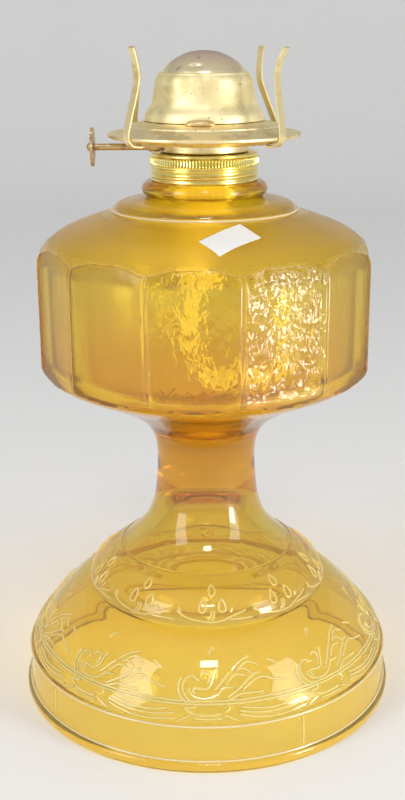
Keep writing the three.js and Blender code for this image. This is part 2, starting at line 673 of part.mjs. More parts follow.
// Flat cotton tape: straight in the tube, then it twists as it hangs and curls to the right in the font
function wick() {
  const routeShares = [
    [-0.06, 0.08], [-0.13, 0.26], [-0.16, 0.45], [-0.24, 0.68], [-0.14, 0.86], [0.22, 1], [0.42, 0.99],
    [0.69, 0.93], [1, 0.87],
  ];
  const twistShare = 0.22; // the first twist is done by this share of the drop
  const bendShare = 0.75; // the tape turns fully edge-on between here and its lowest bend
  const wickDrop = wickStraightEnd - wickLowest;
  const wickReach = wickReachShare * fontInnerRadius;
  const route = [new THREE.Vector2(0, tubeTop + wickAboveTube), new THREE.Vector2(0, tubeBottom)];
  const tail = [[0, 0], ...routeShares].map(([reachShare, dropShare]) => (
    new THREE.Vector2(reachShare * wickReach, wickStraightEnd - dropShare * wickDrop)
  ));
  const points = [...route, ...new THREE.SplineCurve(tail).getPoints(wickSteps)];
  const half = wickThickness / 2;
  const edge = wickWidth / 2;
  const section = [
    [-edge, -half / 2], [-edge, half / 2], [half - edge, half], [edge - half, half],
    [edge, half / 2], [edge, -half / 2], [edge - half, -half], [half - edge, -half],
  ];
  const rings = points.map((point, index) => {
    const before = points[Math.max(index - 1, 0)];
    const after = points[Math.min(index + 1, points.length - 1)];
    const along = new THREE.Vector3(after.x - before.x, 0, after.y - before.y).normalize();
    const dropShare = (wickStraightEnd - point.y) / wickDrop;
    const firstTurn = THREE.MathUtils.smoothstep(dropShare, 0, twistShare) * wickTwist;
    const lastTurn = THREE.MathUtils.smoothstep(dropShare, bendShare, 1) * (Math.PI / 2 - wickTwist);
    const twist = point.x > 0 && index > route.length ? Math.PI / 2 : firstTurn + lastTurn;
    const across = new THREE.Vector3(-along.z, 0, along.x).multiplyScalar(Math.cos(twist));
    across.y = -Math.sin(twist);
    const through = new THREE.Vector3().crossVectors(along, across);
    const middle = new THREE.Vector3(point.x, 0, point.y);
    return section.map(([u, v]) => middle.clone().addScaledVector(across, u).addScaledVector(through, v));
  });
  return mesh('wick', loft(rings), cotton);
}

// Bracket over the spur wheels: it carries the shaft in two open bearings and is soldered to the tube
function raiserHousing() {
  const front = tubeDepth / 2 + seatGap;
  const depth = housingBack - front;
  const middle = -(housingBack + front) / 2;
  const outer = box(2 * housingHalfWidth, depth, housingRise, housingTop).translate(0, middle, 0);
  const innerTop = housingTop - housingSheet;
  const inner = box(2 * (housingHalfWidth - housingSheet), depth, housingRise - overrun, innerTop);
  inner.translate(0, middle + housingSheet, 0);
  const reach = 2 * (housingHalfWidth + overrun);
  const bearing = cylinder(shaftBore, -reach / 2, reach / 2, shaftSides).rotateY(Math.PI / 2);
  bearing.translate(0, -shaftOffset, shaftRise);
  const notch = box(reach, 2 * shaftBore, housingRise - overrun, shaftRise).translate(0, -shaftOffset, 0);
  return mesh('raiser_housing', cut(outer, inner, bearing, notch), agedBrass);
}

// Wick raiser, built along +Z and turned so that its outer end points to -X
function wickRaiser() {
  const raiser = new THREE.Group();
  const rivetSeat = shaftOuterEnd + seatGap;
  const rivetShares = [[0.1, 0.45], [0.5, 0.9]];
  const shaftLine = profile(
    run([0, -shaftInnerEnd], [shaftRadius, -shaftInnerEnd]),
    run([shaftRadius, -shaftInnerEnd], [shaftRadius, rivetSeat]),
    run([shaftRadius, rivetSeat], [rivetRadius, rivetSeat]),
    run([rivetRadius, rivetSeat], [0, rivetSeat + rivetLength], rivetShares),
  );
  raiser.add(mesh('wick_shaft', turned(shaftLine, shaftSides), dullBrass));
  const toothShape = new THREE.Shape();
  for (let corner = 0; corner < 2 * wheelTeeth; corner += 1) {
    const radius = corner % 2 ? wheelRadius - wheelTooth : wheelRadius;
    const angle = (corner * Math.PI) / wheelTeeth;
    const place = [radius * Math.cos(angle), radius * Math.sin(angle)];
    if (corner === 0) {
      toothShape.moveTo(...place);
    } else {
      toothShape.lineTo(...place);
    }
  }
  const bore = new THREE.Path().absarc(0, 0, shaftBore, 0, 2 * Math.PI, false);
  toothShape.holes.push(bore);
  for (let wheel = 0; wheel < wheelCount; wheel += 1) {
    const spur = mesh(`spur_wheel_${wheel + 1}`, extruded(toothShape, wheelThickness, 5), dullBrass);
    spur.position.z = wheelStation(wheel) - wheelThickness / 2;
    raiser.add(spur);
  }
  const rimShape = new THREE.Shape();
  for (let corner = 0; corner < 2 * thumbwheelFlutes; corner += 1) {
    const radius = corner % 2 ? thumbwheelRadius - thumbwheelDish : thumbwheelRadius;
    const angle = (corner * Math.PI) / thumbwheelFlutes;
    const place = [radius * Math.cos(angle), radius * Math.sin(angle)];
    if (corner === 0) {
      rimShape.moveTo(...place);
    } else {
      rimShape.lineTo(...place);
    }
  }
  rimShape.holes.push(bore);
  const disc = extruded(rimShape, thumbwheelThickness, 5);
  const dishRadius = thumbwheelRadius - thumbwheelDish - thumbwheelRim;
  const recess = cylinder(dishRadius, 0, thumbwheelDish + overrun, brassSides);
  recess.translate(0, 0, thumbwheelThickness - thumbwheelDish);
  const thumbwheel = mesh('thumbwheel', cut(disc, recess), dullBrass);
  thumbwheel.position.z = shaftOuterEnd - thumbwheelThickness;
  raiser.add(thumbwheel);
  const bushStart = cupWallRadius - cupSheet + 2 * seatGap;
  const bushRadius = shaftBore + bushWall;
  const bushLine = run([bushRadius, bushStart], [bushRadius, bushStart + bushLength]);
  raiser.add(mesh('shaft_bush', turnedSheet(bushLine, bushWall, shaftSides), dullBrass));
  raiser.position.set(0, -shaftOffset, shaftRise);
  raiser.rotation.y = -Math.PI / 2;
  return raiser;
}

const lamp = new THREE.Group();
lamp.add(glassBody(), screwCollar());

const burner = new THREE.Group();
burner.position.z = cupShoulder;
burner.add(burnerCup(), galleryDeck(), galleryUnderside(), airScreen(), wickTube(), wick(), raiserHousing());
burner.add(coneCatch('cone_catch_front', catchTurn), coneCatch('cone_catch_back', Math.PI + catchTurn));
burner.add(cone(), domeCap(), wickRaiser(), ...prongShares.map(chimneyProng));
lamp.add(burner);

export default lamp;
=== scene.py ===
# Amber glass stand lamp with a flat-wick brass burner, shown without its chimney.
# Metres, +Z up. The front faces -Y, and the thumbwheel points to -X.

import math

import bpy
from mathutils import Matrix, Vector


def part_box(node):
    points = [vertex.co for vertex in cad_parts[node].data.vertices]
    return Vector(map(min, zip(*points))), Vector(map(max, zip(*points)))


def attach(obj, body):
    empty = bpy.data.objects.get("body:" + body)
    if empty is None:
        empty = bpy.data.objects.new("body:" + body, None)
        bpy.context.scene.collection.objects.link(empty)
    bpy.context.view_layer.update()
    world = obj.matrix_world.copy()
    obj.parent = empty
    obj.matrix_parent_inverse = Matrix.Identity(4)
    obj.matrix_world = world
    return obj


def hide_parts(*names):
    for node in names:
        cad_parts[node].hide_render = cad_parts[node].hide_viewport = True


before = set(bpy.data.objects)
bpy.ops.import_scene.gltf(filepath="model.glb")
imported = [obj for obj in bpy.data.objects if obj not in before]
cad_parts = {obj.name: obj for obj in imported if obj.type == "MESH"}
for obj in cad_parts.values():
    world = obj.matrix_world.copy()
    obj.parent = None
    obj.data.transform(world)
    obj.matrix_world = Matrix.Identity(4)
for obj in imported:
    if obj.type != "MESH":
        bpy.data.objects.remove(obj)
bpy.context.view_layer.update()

# Camera
# It stands level with the top of the burner and is tipped down at the lamp's middle.
# The lamp leans a little in its picture, so the camera is rolled by as much.
picture_width = 405
picture_height = 800
focal_pixels = 1161.5
axis_column = 205.8  # where the lamp's axis crosses the middle row of the picture
camera_distance = 0.47155
camera_height = 0.27688
camera_tilt = math.radians(90 - 17.448)
camera_roll = math.radians(0.315)


def in_scene(name, data):
    thing = bpy.data.objects.new(name, data)
    bpy.context.scene.collection.objects.link(thing)
    return thing


lens = bpy.data.cameras.new("camera")
lens.lens = lens.sensor_width * focal_pixels / picture_height
lens.shift_x = (picture_width / 2 - axis_column) / picture_height
camera = in_scene("camera", lens)
camera.location = (0, -camera_distance, camera_height)
camera.rotation_euler = (
    camera_tilt,
    camera_roll * math.sin(camera_tilt),
    -camera_roll * math.cos(camera_tilt),
)
bpy.context.scene.camera = camera

# Glass lamp body
# Pressed soda glass, all one piece: a domed foot that is hollow underneath, a waisted stem and a font.
# The font is stained amber over the paler foot. Its twelve flats are hammered, and three are worn satin.


def smooth_line(points, steps):
    # Curve that passes through the points
    line = []
    last = len(points) - 1
    for step in range(steps + 1):
        place = step / steps * last
        index = min(int(place), last - 1)
        share = place - index
        near = [points[min(max(index + shift, 0), last)] for shift in (-1, 0, 1, 2)]
        line.append(
            tuple(
                (((3 * (b - c) - a + d) * share + 2 * a - 5 * b + 4 * c - d) * share + c - a) * share / 2 + b
                for a, b, c, d in zip(*near)
            )
        )
    return line


def run(start, end, shares=(), steps=0):
    # Points from start to end, bent through shares of the way across and up
    if not shares:
        ways = [step / steps for step in range(steps + 1)] if steps else [0, 1]
        return [tuple(s + way * (e - s) for s, e in zip(start, end)) for way in ways]
    corners = [tuple(s + share * (e - s) for s, e, share in zip(start, end, pair)) for pair in shares]
    return smooth_line([start, *corners, end], steps) if steps else [start, *corners, end]


def ring_faces(lower, upper):
    # Faces between two rings of vertices, which may differ in how many they have
    low, high = len(lower), len(upper)
    if low == high:
        return [(lower[i], lower[(i + 1) % low], upper[(i + 1) % low], upper[i]) for i in range(low)]
    if high == 1:
        return [(lower[i], lower[(i + 1) % low], upper[0]) for i in range(low)]
    if low == 1:
        return [(lower[0], upper[(i + 1) % high], upper[i]) for i in range(high)]
    faces = []
    i = j = 0
    while i < low or j < high:
        if j == high or (i < low and (i + 1) * high <= (j + 1) * low):
            faces.append((lower[i % low], lower[(i + 1) % low], upper[j % high]))
            i += 1
        else:
            faces.append((lower[i % low], upper[(j + 1) % high], upper[j % high]))
            j += 1
    return faces


def turned(line, columns, relief=None, closed=False, crowd=None):
    # Vertices and faces of a line turned round the axis; it runs up on the outside and down on the inside
    vertices, faces, rings = [], [], []
    for row, (radius, height) in enumerate(line):
        count = columns[row] if isinstance(columns, list) else columns
        count = count if radius > 0 else 1
        rings.append(range(len(vertices), len(vertices) + count))
        for step in range(count):
            angle = 2 * math.pi * step / count
            angle = crowd(angle) if crowd else angle
            r, z = relief(angle, radius, height) if relief and radius > 0 else (radius, height)
            vertices.append((r * math.sin(angle), -r * math.cos(angle), z))
    for lower, upper in zip(rings, rings[1:] + rings[:1] if closed else rings[1:]):
        faces += ring_faces(lower, upper)
    return vertices, faces


plain_crease = math.radians(35)


def smooth_piece(name, mesh, crease):
    mesh.shade_smooth()
    mesh.set_sharp_from_angle(angle=crease)
    return in_scene(name, mesh)


def new_piece(name, vertices, faces, material, crease=plain_crease):
    mesh = bpy.data.meshes.new(name)
    mesh.from_pydata(vertices, [], faces)
    mesh.materials.append(material)
    return smooth_piece(name, mesh, crease)


def modified_mesh(piece):
    # Mesh that its modifiers make of the piece
    bpy.context.view_layer.update()
    graph = bpy.context.evaluated_depsgraph_get()
    return bpy.data.meshes.new_from_object(piece.evaluated_get(graph))


def new_group(name, kind, inputs, outputs):
    # Empty node group with named sockets, what comes in, and the node that takes the results
    group = bpy.data.node_groups.new(name, kind)
    for way, sockets in (("INPUT", inputs), ("OUTPUT", outputs)):
        for label, socket in sockets.items():
            group.interface.new_socket(label, in_out=way, socket_type="NodeSocket" + socket)
    return group, group.nodes.new("NodeGroupInput").outputs, group.nodes.new("NodeGroupOutput")


def fill(tree, node, inputs):
    # Links each input, or sets it to a value
    for label, value in inputs.items():
        if isinstance(value, bpy.types.NodeSocket):
            tree.links.new(value, node.inputs[label])
        else:
            node.inputs[label].default_value = value


def put(tree, kind, inputs, **settings):
    # Outputs of a new node with these settings and inputs
    node = tree.nodes.new(kind)
    for label, value in settings.items():
        setattr(node, label, value)
    fill(tree, node, inputs)
    return node.outputs


def maths(tree, operation, first, second):
    return put(tree, "ShaderNodeMath", {0: first, 1: second}, operation=operation)[0]


def stretched(tree, place, stretch):
    return put(tree, "ShaderNodeVectorMath", {0: place, 1: stretch}, operation="MULTIPLY")[0]


def mixed_numbers(tree, share, first, second):
    return put(tree, "ShaderNodeMix", {0: share, 2: first, 3: second})[0]


def mixed_colours(tree, share, first, second):
    return put(tree, "ShaderNodeMix", {0: share, 6: first, 7: second}, data_type="RGBA")[2]


def attribute(tree, name):
    return put(tree, "ShaderNodeAttribute", {}, attribute_name=name)["Fac"]


def place_on_piece(tree):
    return put(tree, "ShaderNodeTexCoord", {})["Object"]


def noise(tree, place, inputs):
    return put(tree, "ShaderNodeTexNoise", {"Vector": place, **inputs})[0]


def bumped(tree, height, strength, depth):
    return put(tree, "ShaderNodeBump", {"Height": height, "Strength": strength, "Distance": depth})[0]


def ramp(tree, value, stops):
    # Colour ramp; each stop is a place from 0 to 1 and a colour
    colours = tree.nodes.new("ShaderNodeValToRGB")
    points = colours.color_ramp.elements
    for index, (place, colour) in enumerate(stops):
        point = points[index] if index < 2 else points.new(place)
        point.position = place
        point.color = (*colour, 1)
    fill(tree, colours, {"Fac": value})
    return colours.outputs["Color"]


def by_height(tree, stops):
    # Colour that changes with height; each stop is a height and a colour
    low, high = stops[0][0], stops[-1][0]
    height = put(tree, "ShaderNodeSeparateXYZ", {"Vector": place_on_piece(tree)})["Z"]
    share = put(tree, "ShaderNodeMapRange", {"Value": height, "From Min": low, "From Max": high})[0]
    return ramp(tree, share, [((level - low) / (high - low), colour) for level, colour in stops])


def new_material(name, inputs=()):
    material = bpy.data.materials.new(name)
    material.use_nodes = True
    tree = material.node_tree
    fill(tree, tree.nodes["Principled BSDF"], dict(inputs))
    return material, tree, tree.nodes["Principled BSDF"]


def painted(tree, shapes, material, out):
    # Ends a Geometry Nodes tree: plain mesh in one material
    realized = put(tree, "GeometryNodeRealizeInstances", {"Geometry": shapes})[0]
    coated = put(tree, "GeometryNodeSetMaterial", {"Geometry": realized, "Material": material})[0]
    fill(tree, out, {"Geometry": coated})


def grown(source, tree, values, name, crease=plain_crease):
    # Plain mesh piece from what the tree makes of the source, which is then taken away
    modifier = source.modifiers.new(tree.name, "NODES")
    modifier.node_group = tree
    for socket in tree.interface.items_tree:
        if socket.in_out == "INPUT" and socket.name in values:
            modifier[socket.identifier] = values[socket.name]
    mesh = modified_mesh(source)
    mesh.name = name
    bpy.data.objects.remove(source)
    return smooth_piece(name, mesh, crease)


def mask(piece, name, share_at):
    # Share at each vertex, from its angle, radius and height
    layer = piece.data.attributes.new(name, "FLOAT", "POINT")
    for vertex in piece.data.vertices:
        x, y, z = vertex.co
        layer.data[vertex.index].value = share_at(math.atan2(x, -y), math.hypot(x, y), z)


def ramp_step(value, start, width):
    share = min(max((value - start) / width, 0), 1)
    return share * share * (3 - 2 * share)


foot_band_foot = (0.0792, 0.005)
foot_band_top = (0.0783, 0.0192)
large_dome_foot = (0.0776, 0.0209)
large_dome_top = (0.0515, 0.0492)
small_dome_top = (0.0378, 0.0648)
stem_waist = (0.0208, 0.106)
font_foot = (0.0684, 0.147)
font_top = (0.0684, 0.191)
shoulder_step = (0.0373, 0.2098)
neck_waist = (0.023, 0.2154)
neck_top = (0.023, 0.2215)
finish_radius = 0.0206
finish_top = 0.2317
mouth_radius = 0.0179
lip_round = 0.0008
hollow_foot = (0.0764, 0)
hollow_band_top = (0.0737, 0.0196)
hollow_large_top = (0.0492, 0.0446)
hollow_small_top = (0.0355, 0.0602)
hollow_crown = 0.09
cavity_floor = 0.1175
cavity_wall_foot = (0.0618, 0.1514)
cavity_wall_top = (0.0618, 0.1888)
cavity_shoulder = (0.0329, 0.2054)

rim_bead = [
    (0.0798, 0), (0.0807, 0.0007), (0.081, 0.0023), (0.0808, 0.0037), (0.0799, 0.0045), foot_band_foot,
]
band_ledge = [foot_band_top, (0.0789, 0.0196), (0.0789, 0.0202), (0.0782, 0.0207), large_dome_foot]
small_ledge = [small_dome_top, (0.0377, 0.0652), (0.0373, 0.0654), (0.0368, 0.0654)]
step_bead = [shoulder_step, (0.0376, 0.2103), (0.0371, 0.2108), (0.0365, 0.2109)]
neck_bead = [neck_waist, (0.0246, 0.2166), (0.0254, 0.21845), (0.0246, 0.2203), neck_top]
large_dome_shares = [(0.05, 0.16), (0.23, 0.37), (0.436, 0.625), (0.765, 0.9)]
small_dome_shares = [(0.04, 0.19), (0.14, 0.38), (0.31, 0.55), (0.62, 0.78)]
stem_shares = [(0.33, 0.114), (0.653, 0.265), (0.853, 0.447), (0.93, 0.595), (0.98, 0.806)]
under_shares = [(0.02, 0.17), (0.08, 0.32), (0.21, 0.46), (0.47, 0.64), (0.86, 0.85), (0.98, 0.95)]
shoulder_shares = [(0.029, 0.105), (0.104, 0.295), (0.345, 0.595), (0.769, 0.868)]
neck_shares = [(0.09, 0.36), (0.36, 0.66), (0.75, 0.88)]
lip_share = 0.3
hollow_shares = [(0.05, 0.17), (0.22, 0.37), (0.43, 0.62), (0.77, 0.9)]
crown_shares = [(0.17, 0.14), (0.36, 0.35), (0.51, 0.57), (0.61, 0.78), (0.7, 0.91), (0.84, 0.98)]
floor_shares = [(0.16, 0.04), (0.29, 0.13), (0.42, 0.27), (0.64, 0.48), (0.84, 0.65), (0.96, 0.8)]
cavity_shoulder_shares = [(0.03, 0.105), (0.15, 0.33), (0.4, 0.62), (0.78, 0.87)]
throat_shares = [(0.25, 0.28), (0.7, 0.55), (0.93, 0.76)]

hollow = [
    *run(hollow_foot, hollow_band_top, steps=3),
    *run(hollow_band_top, hollow_large_top, hollow_shares, steps=12)[1:],
    *run(hollow_large_top, hollow_small_top, hollow_shares, steps=9)[1:],
    *run(hollow_small_top, (0, hollow_crown), crown_shares, steps=16)[1:],
]
shoulder = run(font_top, shoulder_step, shoulder_shares, steps=60)
fine_shoulder_top = 0.2  # the shoulder's rows are close together up to here, for the tops of the panels
outside = [
    *smooth_line(rim_bead, steps=12),
    *run(foot_band_foot, foot_band_top, steps=4)[1:],
    *smooth_line(band_ledge, steps=4)[1:],
    *run(large_dome_foot, large_dome_top, large_dome_shares, steps=26)[1:],
    *run(large_dome_top, small_dome_top, small_dome_shares, steps=18)[1:],
    *smooth_line(small_ledge, steps=4)[1:],
    *run(small_ledge[-1], stem_waist, stem_shares, steps=24)[1:],
    *run(stem_waist, font_foot, under_shares, steps=30)[1:],
    *run(font_foot, font_top, steps=58)[1:],
    *[point for index, point in enumerate(shoulder[1:]) if point[1] < fine_shoulder_top or index % 4 == 3],
    *smooth_line(step_bead, steps=6)[1:],
    *run(step_bead[-1], neck_waist, neck_shares, steps=9)[1:],
    *smooth_line(neck_bead, steps=14)[1:],
    *run(neck_top, (finish_radius, neck_top[1]), steps=2)[1:],
    *run((finish_radius, neck_top[1]), (finish_radius, finish_top - lip_round), steps=3)[1:],
    (finish_radius - lip_share * lip_round, finish_top - lip_share * lip_round),
    (finish_radius - lip_round, finish_top),
    (mouth_radius + lip_round, finish_top),
    (mouth_radius + lip_share * lip_round, finish_top - lip_share * lip_round),
]
cavity = [
    *run((0, cavity_floor), cavity_wall_foot, floor_shares, steps=20),
    *run(cavity_wall_foot, cavity_wall_top, steps=4)[1:],
    *run(cavity_wall_top, cavity_shoulder, cavity_shoulder_shares, steps=12)[1:],
    *run(cavity_shoulder, (mouth_radius, neck_waist[1]), throat_shares, steps=8)[1:],
    *run((mouth_radius, neck_waist[1]), (mouth_radius, finish_top - lip_round), steps=3)[1:],
]

panel_count = 12
panel_angle = math.radians(360 / panel_count)
arris_turn = math.radians(11.4)
flat_radius = 0.0662
arris_round = 0.005
arris_centre = (flat_radius - arris_round) / math.cos(panel_angle / 2)
arris_end = math.atan2(
    arris_round * math.sin(panel_angle / 2), arris_centre + arris_round * math.cos(panel_angle / 2)
)
flat_blend = (0.0005, 0.0022)  # how softly a flat meets the round wall, low down and at the shoulder
flat_blend_zone = (0.1875, 0.006)
panel_zone = (0.135, 0.1998)
panel_least_radius = 0.0621
field_bottom = 0.1465
field_top = 0.197
field_recess = 0.00045
field_ridge = 0.0003
ridge_width = 0.0005
field_edge = 0.0006
field_foot_fade = 0.004
corner_dip = 0.0024
corner_width = 0.007
arris_half = 0.0009
arris_crowding = 0.3
satin_panels = (1, 9, 10)  # counted from the arris at the right of the front
satin_share = 0.3  # how deep the hammering still is there


def at_panels(radius, height):
    return radius > panel_least_radius and panel_zone[0] < height < panel_zone[1]


def across_arris(angle):
    turn = (angle - arris_turn) % panel_angle
    return min(turn, panel_angle - turn)


def across_field(angle):
    # Way from the nearest arris, and how high the field goes there
    off = across_arris(angle) * font_foot[0]
    return off, field_top - corner_dip * math.exp(-((off / corner_width) ** 2))


def field_share(angle, radius, height):
    # 1 in a field between the arrises, 0 on the arrises, the shoulder and the underside
    off, top = across_field(angle)
    sides = ramp_step(off, arris_half, field_edge)
    ends = ramp_step(top - height, 0, field_edge) * ramp_step(height - field_bottom, 0, field_foot_fade)
    return at_panels(radius, height) * sides * ends


def ridge_share(angle, radius, height):
    # 1 on the fine ridges along the top and the sides of a field, where the glass gets a painted highlight
    off, top = across_field(angle)
    over = math.exp(-(((height - top - field_edge / 2) / ridge_width) ** 2))
    beside = math.exp(-(((off - arris_half) / ridge_width) ** 2))
    beside *= ramp_step(top - height, 0, field_edge) * ramp_step(height - field_bottom, 0, field_edge)
    return at_panels(radius, height) * max(over, beside)


def is_satin(angle):
    return int((angle - arris_turn) % (2 * math.pi) / panel_angle) in satin_panels


def hammered_share(angle, radius, height):
    return field_share(angle, radius, height) * (satin_share if is_satin(angle) else 1)


def frosted_share(angle, radius, height):
    return field_share(angle, radius, height) * is_satin(angle)


def panelled(angle, radius, height):
    if not at_panels(radius, height):
        return radius, height
    off = across_arris(angle)
    flat = flat_radius / math.cos(panel_angle / 2 - off)
    if off < arris_end:
        flat = arris_centre * math.cos(off)
        flat += math.sqrt(arris_round**2 - (arris_centre * math.sin(off)) ** 2)
    blend = flat_blend[0] + (flat_blend[1] - flat_blend[0]) * ramp_step(height, *flat_blend_zone)
    share = min(max(0.5 + (radius - flat) / (2 * blend), 0), 1)
    least = share * flat + (1 - share) * radius - blend * share * (1 - share) / 2
    least += field_ridge * ridge_share(angle, radius, height)
    return least - field_recess * field_share(angle, radius, height), height


def crowded(angle):
    # Moves columns of vertices towards the arrises
    return angle - arris_crowding / panel_count * math.sin(panel_count * (angle - arris_turn))


plain_columns = 192
panel_columns = 576
inside_columns = 96
body_columns = [
    *[inside_columns] * len(hollow),
    *[panel_columns if panel_zone[0] < height < panel_zone[1] else plain_columns for _, height in outside],
    *[inside_columns] * len(cavity),
]

stain_stops = [
    (0, (0.9, 0.74, 0.28)),
    (0.01, (0.89, 0.78, 0.36)),
    (0.08, (0.88, 0.77, 0.33)),
    (0.108, (0.8, 0.56, 0.12)),
    (0.132, (0.86, 0.49, 0.03)),
    (0.148, (0.9, 0.69, 0.1)),
    (0.188, (0.9, 0.8, 0.19)),
    (0.198, (0.95, 0.8, 0.16)),
    (finish_top, (0.93, 0.77, 0.14)),
]
roughness_stops = [
    (0, 0.03), (0.1, 0.03), (0.14, 0.12), (0.15, 0.1), (0.1955, 0.1), (0.1985, 0.32), (0.2085, 0.3),
    (0.2098, 0.07), (0.211, 0.07), (0.2125, 0.24), (0.218, 0.1), (finish_top, 0.1),
]
# Pale colour that the fine ridges of the fields get: a painted highlight
ridge_highlight_colour = (0.99, 0.9, 0.5, 1)
ridge_roughness = 0.05
satin_roughness = 0.3
glass_ior = 1.5
glass_clear = 0.93
edge_amber = (0.97, 0.88, 0.22, 1)
edge_density = 130
shade_tint = (0.99, 0.94, 0.72, 1)
hammer_stretch = (1, 1, 0.6)
hammer_depth = 0.0009
hammer_look = {"Detail": 0.6, "Roughness": 0.4, "Distortion": 0.6}
hammer_grain = 365
noise_middle = 0.5
peen_look = {"Scale": 490, "Detail": 1, "Distortion": 0.5}
peen_depth = 0.00055

amber_glass, glass_tree, glass_shader = new_material(
    "amber_glass", {"Transmission Weight": glass_clear, "IOR": glass_ior}
)
# Painted highlight: the ridges take the pale ridge colour in place of the stain
on_ridge_highlight = attribute(glass_tree, "ridge")
stain = mixed_colours(glass_tree, on_ridge_highlight, by_height(glass_tree, stain_stops), ridge_highlight_colour)
roughness = by_height(glass_tree, [(level, (value,) * 3) for level, value in roughness_stops])
roughness = mixed_numbers(glass_tree, on_ridge_highlight, roughness, ridge_roughness)
roughness = mixed_numbers(glass_tree, attribute(glass_tree, "frosted"), roughness, satin_roughness)
peen = noise(glass_tree, stretched(glass_tree, place_on_piece(glass_tree), hammer_stretch), peen_look)
peen = maths(glass_tree, "MULTIPLY", peen, attribute(glass_tree, "hammered"))
fill(
    glass_tree,
    glass_shader,
    {"Base Color": stain, "Roughness": roughness, "Normal": bumped(glass_tree, peen, 1, peen_depth)},
)
in_shade = put(glass_tree, "ShaderNodeLightPath", {})["Is Shadow Ray"]
clear_shade = put(glass_tree, "ShaderNodeBsdfTransparent", {"Color": shade_tint})[0]
glass_surface = {0: in_shade, 1: glass_shader.outputs[0], 2: clear_shade}
glass_surface = put(glass_tree, "ShaderNodeMixShader", glass_surface)[0]
glass_depth = put(glass_tree, "ShaderNodeVolumeAbsorption", {"Color": edge_amber, "Density": edge_density})[0]
fill(glass_tree, glass_tree.nodes["Material Output"], {"Surface": glass_surface, "Volume": glass_depth})

hammer_tree, hammer_in, hammer_out = new_group(
    "hammered_flats",
    "GeometryNodeTree",
    {"Geometry": "Geometry", "Depth": "Float", "Grain": "Float", "Material": "Material"},
    {"Geometry": "Geometry"},
)
where = put(hammer_tree, "GeometryNodeInputPosition", {})[0]
where = stretched(hammer_tree, where, hammer_stretch)
dents = noise(hammer_tree, where, {"Scale": hammer_in["Grain"], **hammer_look})
fields = put(hammer_tree, "GeometryNodeInputNamedAttribute", {"Name": "hammered"}, data_type="FLOAT")
dents = maths(hammer_tree, "SUBTRACT", dents, noise_middle)
dents = maths(hammer_tree, "MULTIPLY", dents, fields["Attribute"])
dents = maths(hammer_tree, "MULTIPLY", dents, hammer_in["Depth"])
facing = put(hammer_tree, "GeometryNodeInputNormal", {})[0]
push = put(hammer_tree, "ShaderNodeVectorMath", {0: facing, "Scale": dents}, operation="SCALE")[0]
hammered = put(hammer_tree, "GeometryNodeSetPosition", {"Geometry": hammer_in["Geometry"], "Offset": push})[0]
painted(hammer_tree, hammered, hammer_in["Material"], hammer_out)

body_line = [*reversed(hollow), *outside, *reversed(cavity)]
blank = new_piece("glass_blank", *turned(body_line, body_columns, panelled, crowd=crowded), amber_glass)
mask(blank, "hammered", hammered_share)
mask(blank, "ridge", ridge_share)
mask(blank, "frosted", frosted_share)
glass_piece = grown(
    blank,
    hammer_tree,
    {"Depth": hammer_depth, "Grain": hammer_grain, "Material": amber_glass},
    "pressed_glass_body",
)
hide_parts("glass_lamp_body")
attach(glass_piece, "glass_body")

# Scrolls
# Raised lines that the mould leaves on the large dome, part of the pressing: nine scrolls with sprays of
# leaves, each over a small crown with rays, and swags and two rings between them.
# Each line goes through points, by azimuth in degrees and height.


def outside_radius(height):
    # Widest radius of the glass at a height
    widest = 0
    for (r0, z0), (r1, z1) in zip(outside, outside[1:]):
        if min(z0, z1) <= height <= max(z0, z1) and z0 != z1:
            widest = max(widest, r0 + (height - z0) / (z1 - z0) * (r1 - r0))
    return widest


line_radius = 0.00048
line_sink = 0.00008
line_sides = 6
line_repeats = {"Line Radius": "Float", "Line Sides": "Int", "Repeats": "Int"}
points_a_stretch = 4
point_share = 0.3  # how thick a line still is at its ends
swell_power = 0.6
even_shares = {"ring": 0.55, "seam": 0.3, "bead": 0.75}  # how thick the lines of these kinds are all along

repeat_tree, repeat_in, repeat_out = new_group(
    "repeated_round_the_foot",
    "GeometryNodeTree",
    {"Geometry": "Geometry", **line_repeats, "Material": "Material"},
    {"Geometry": "Geometry"},
)
round_section = put(
    repeat_tree,
    "GeometryNodeCurvePrimitiveCircle",
    {"Resolution": repeat_in["Line Sides"], "Radius": repeat_in["Line Radius"]},
)[0]
raised = put(
    repeat_tree,
    "GeometryNodeCurveToMesh",
    {"Curve": repeat_in["Geometry"], "Profile Curve": round_section, "Fill Caps": True},
)[0]
stations = put(repeat_tree, "GeometryNodePoints", {"Count": repeat_in["Repeats"]})[0]
station = put(repeat_tree, "GeometryNodeInputIndex", {})[0]
one_turn = maths(repeat_tree, "DIVIDE", 2 * math.pi, repeat_in["Repeats"])
turn_by = maths(repeat_tree, "MULTIPLY", station, one_turn)
upright = put(repeat_tree, "ShaderNodeCombineXYZ", {"Z": turn_by})[0]
copies = put(
    repeat_tree, "GeometryNodeInstanceOnPoints", {"Points": stations, "Instance": raised, "Rotation": upright}
)[0]
painted(repeat_tree, copies, repeat_in["Material"], repeat_out)


def moulded(name, lines, material, repeats=1, first_turn=0):
    # Piece of raised lines on the glass, repeated round the foot
    curve = bpy.data.curves.new(name, "CURVE")
    curve.dimensions = "3D"
    for line_name, points in lines.items():
        kind = line_name.split()[-1]
        all_round = kind == "bead"
        path = points if all_round else smooth_line(points, points_a_stretch * (len(points) - 1))
        spline = curve.splines.new("POLY")
        spline.use_cyclic_u = all_round
        spline.points.add(len(path) - 1)
        for index, (azimuth, height) in enumerate(path):
            angle = math.radians(azimuth + first_turn)
            radius = outside_radius(height) - line_sink
            share = index / (len(path) - 1)
            swell = point_share + (1 - point_share) * math.sin(math.pi * share) ** swell_power
            spline.points[index].co = (radius * math.sin(angle), -radius * math.cos(angle), height, 1)
            spline.points[index].radius = even_shares.get(kind, swell)
    values = {"Line Radius": line_radius, "Line Sides": line_sides, "Repeats": repeats, "Material": material}
    return grown(in_scene(name + "_lines", curve), repeat_tree, values, name)


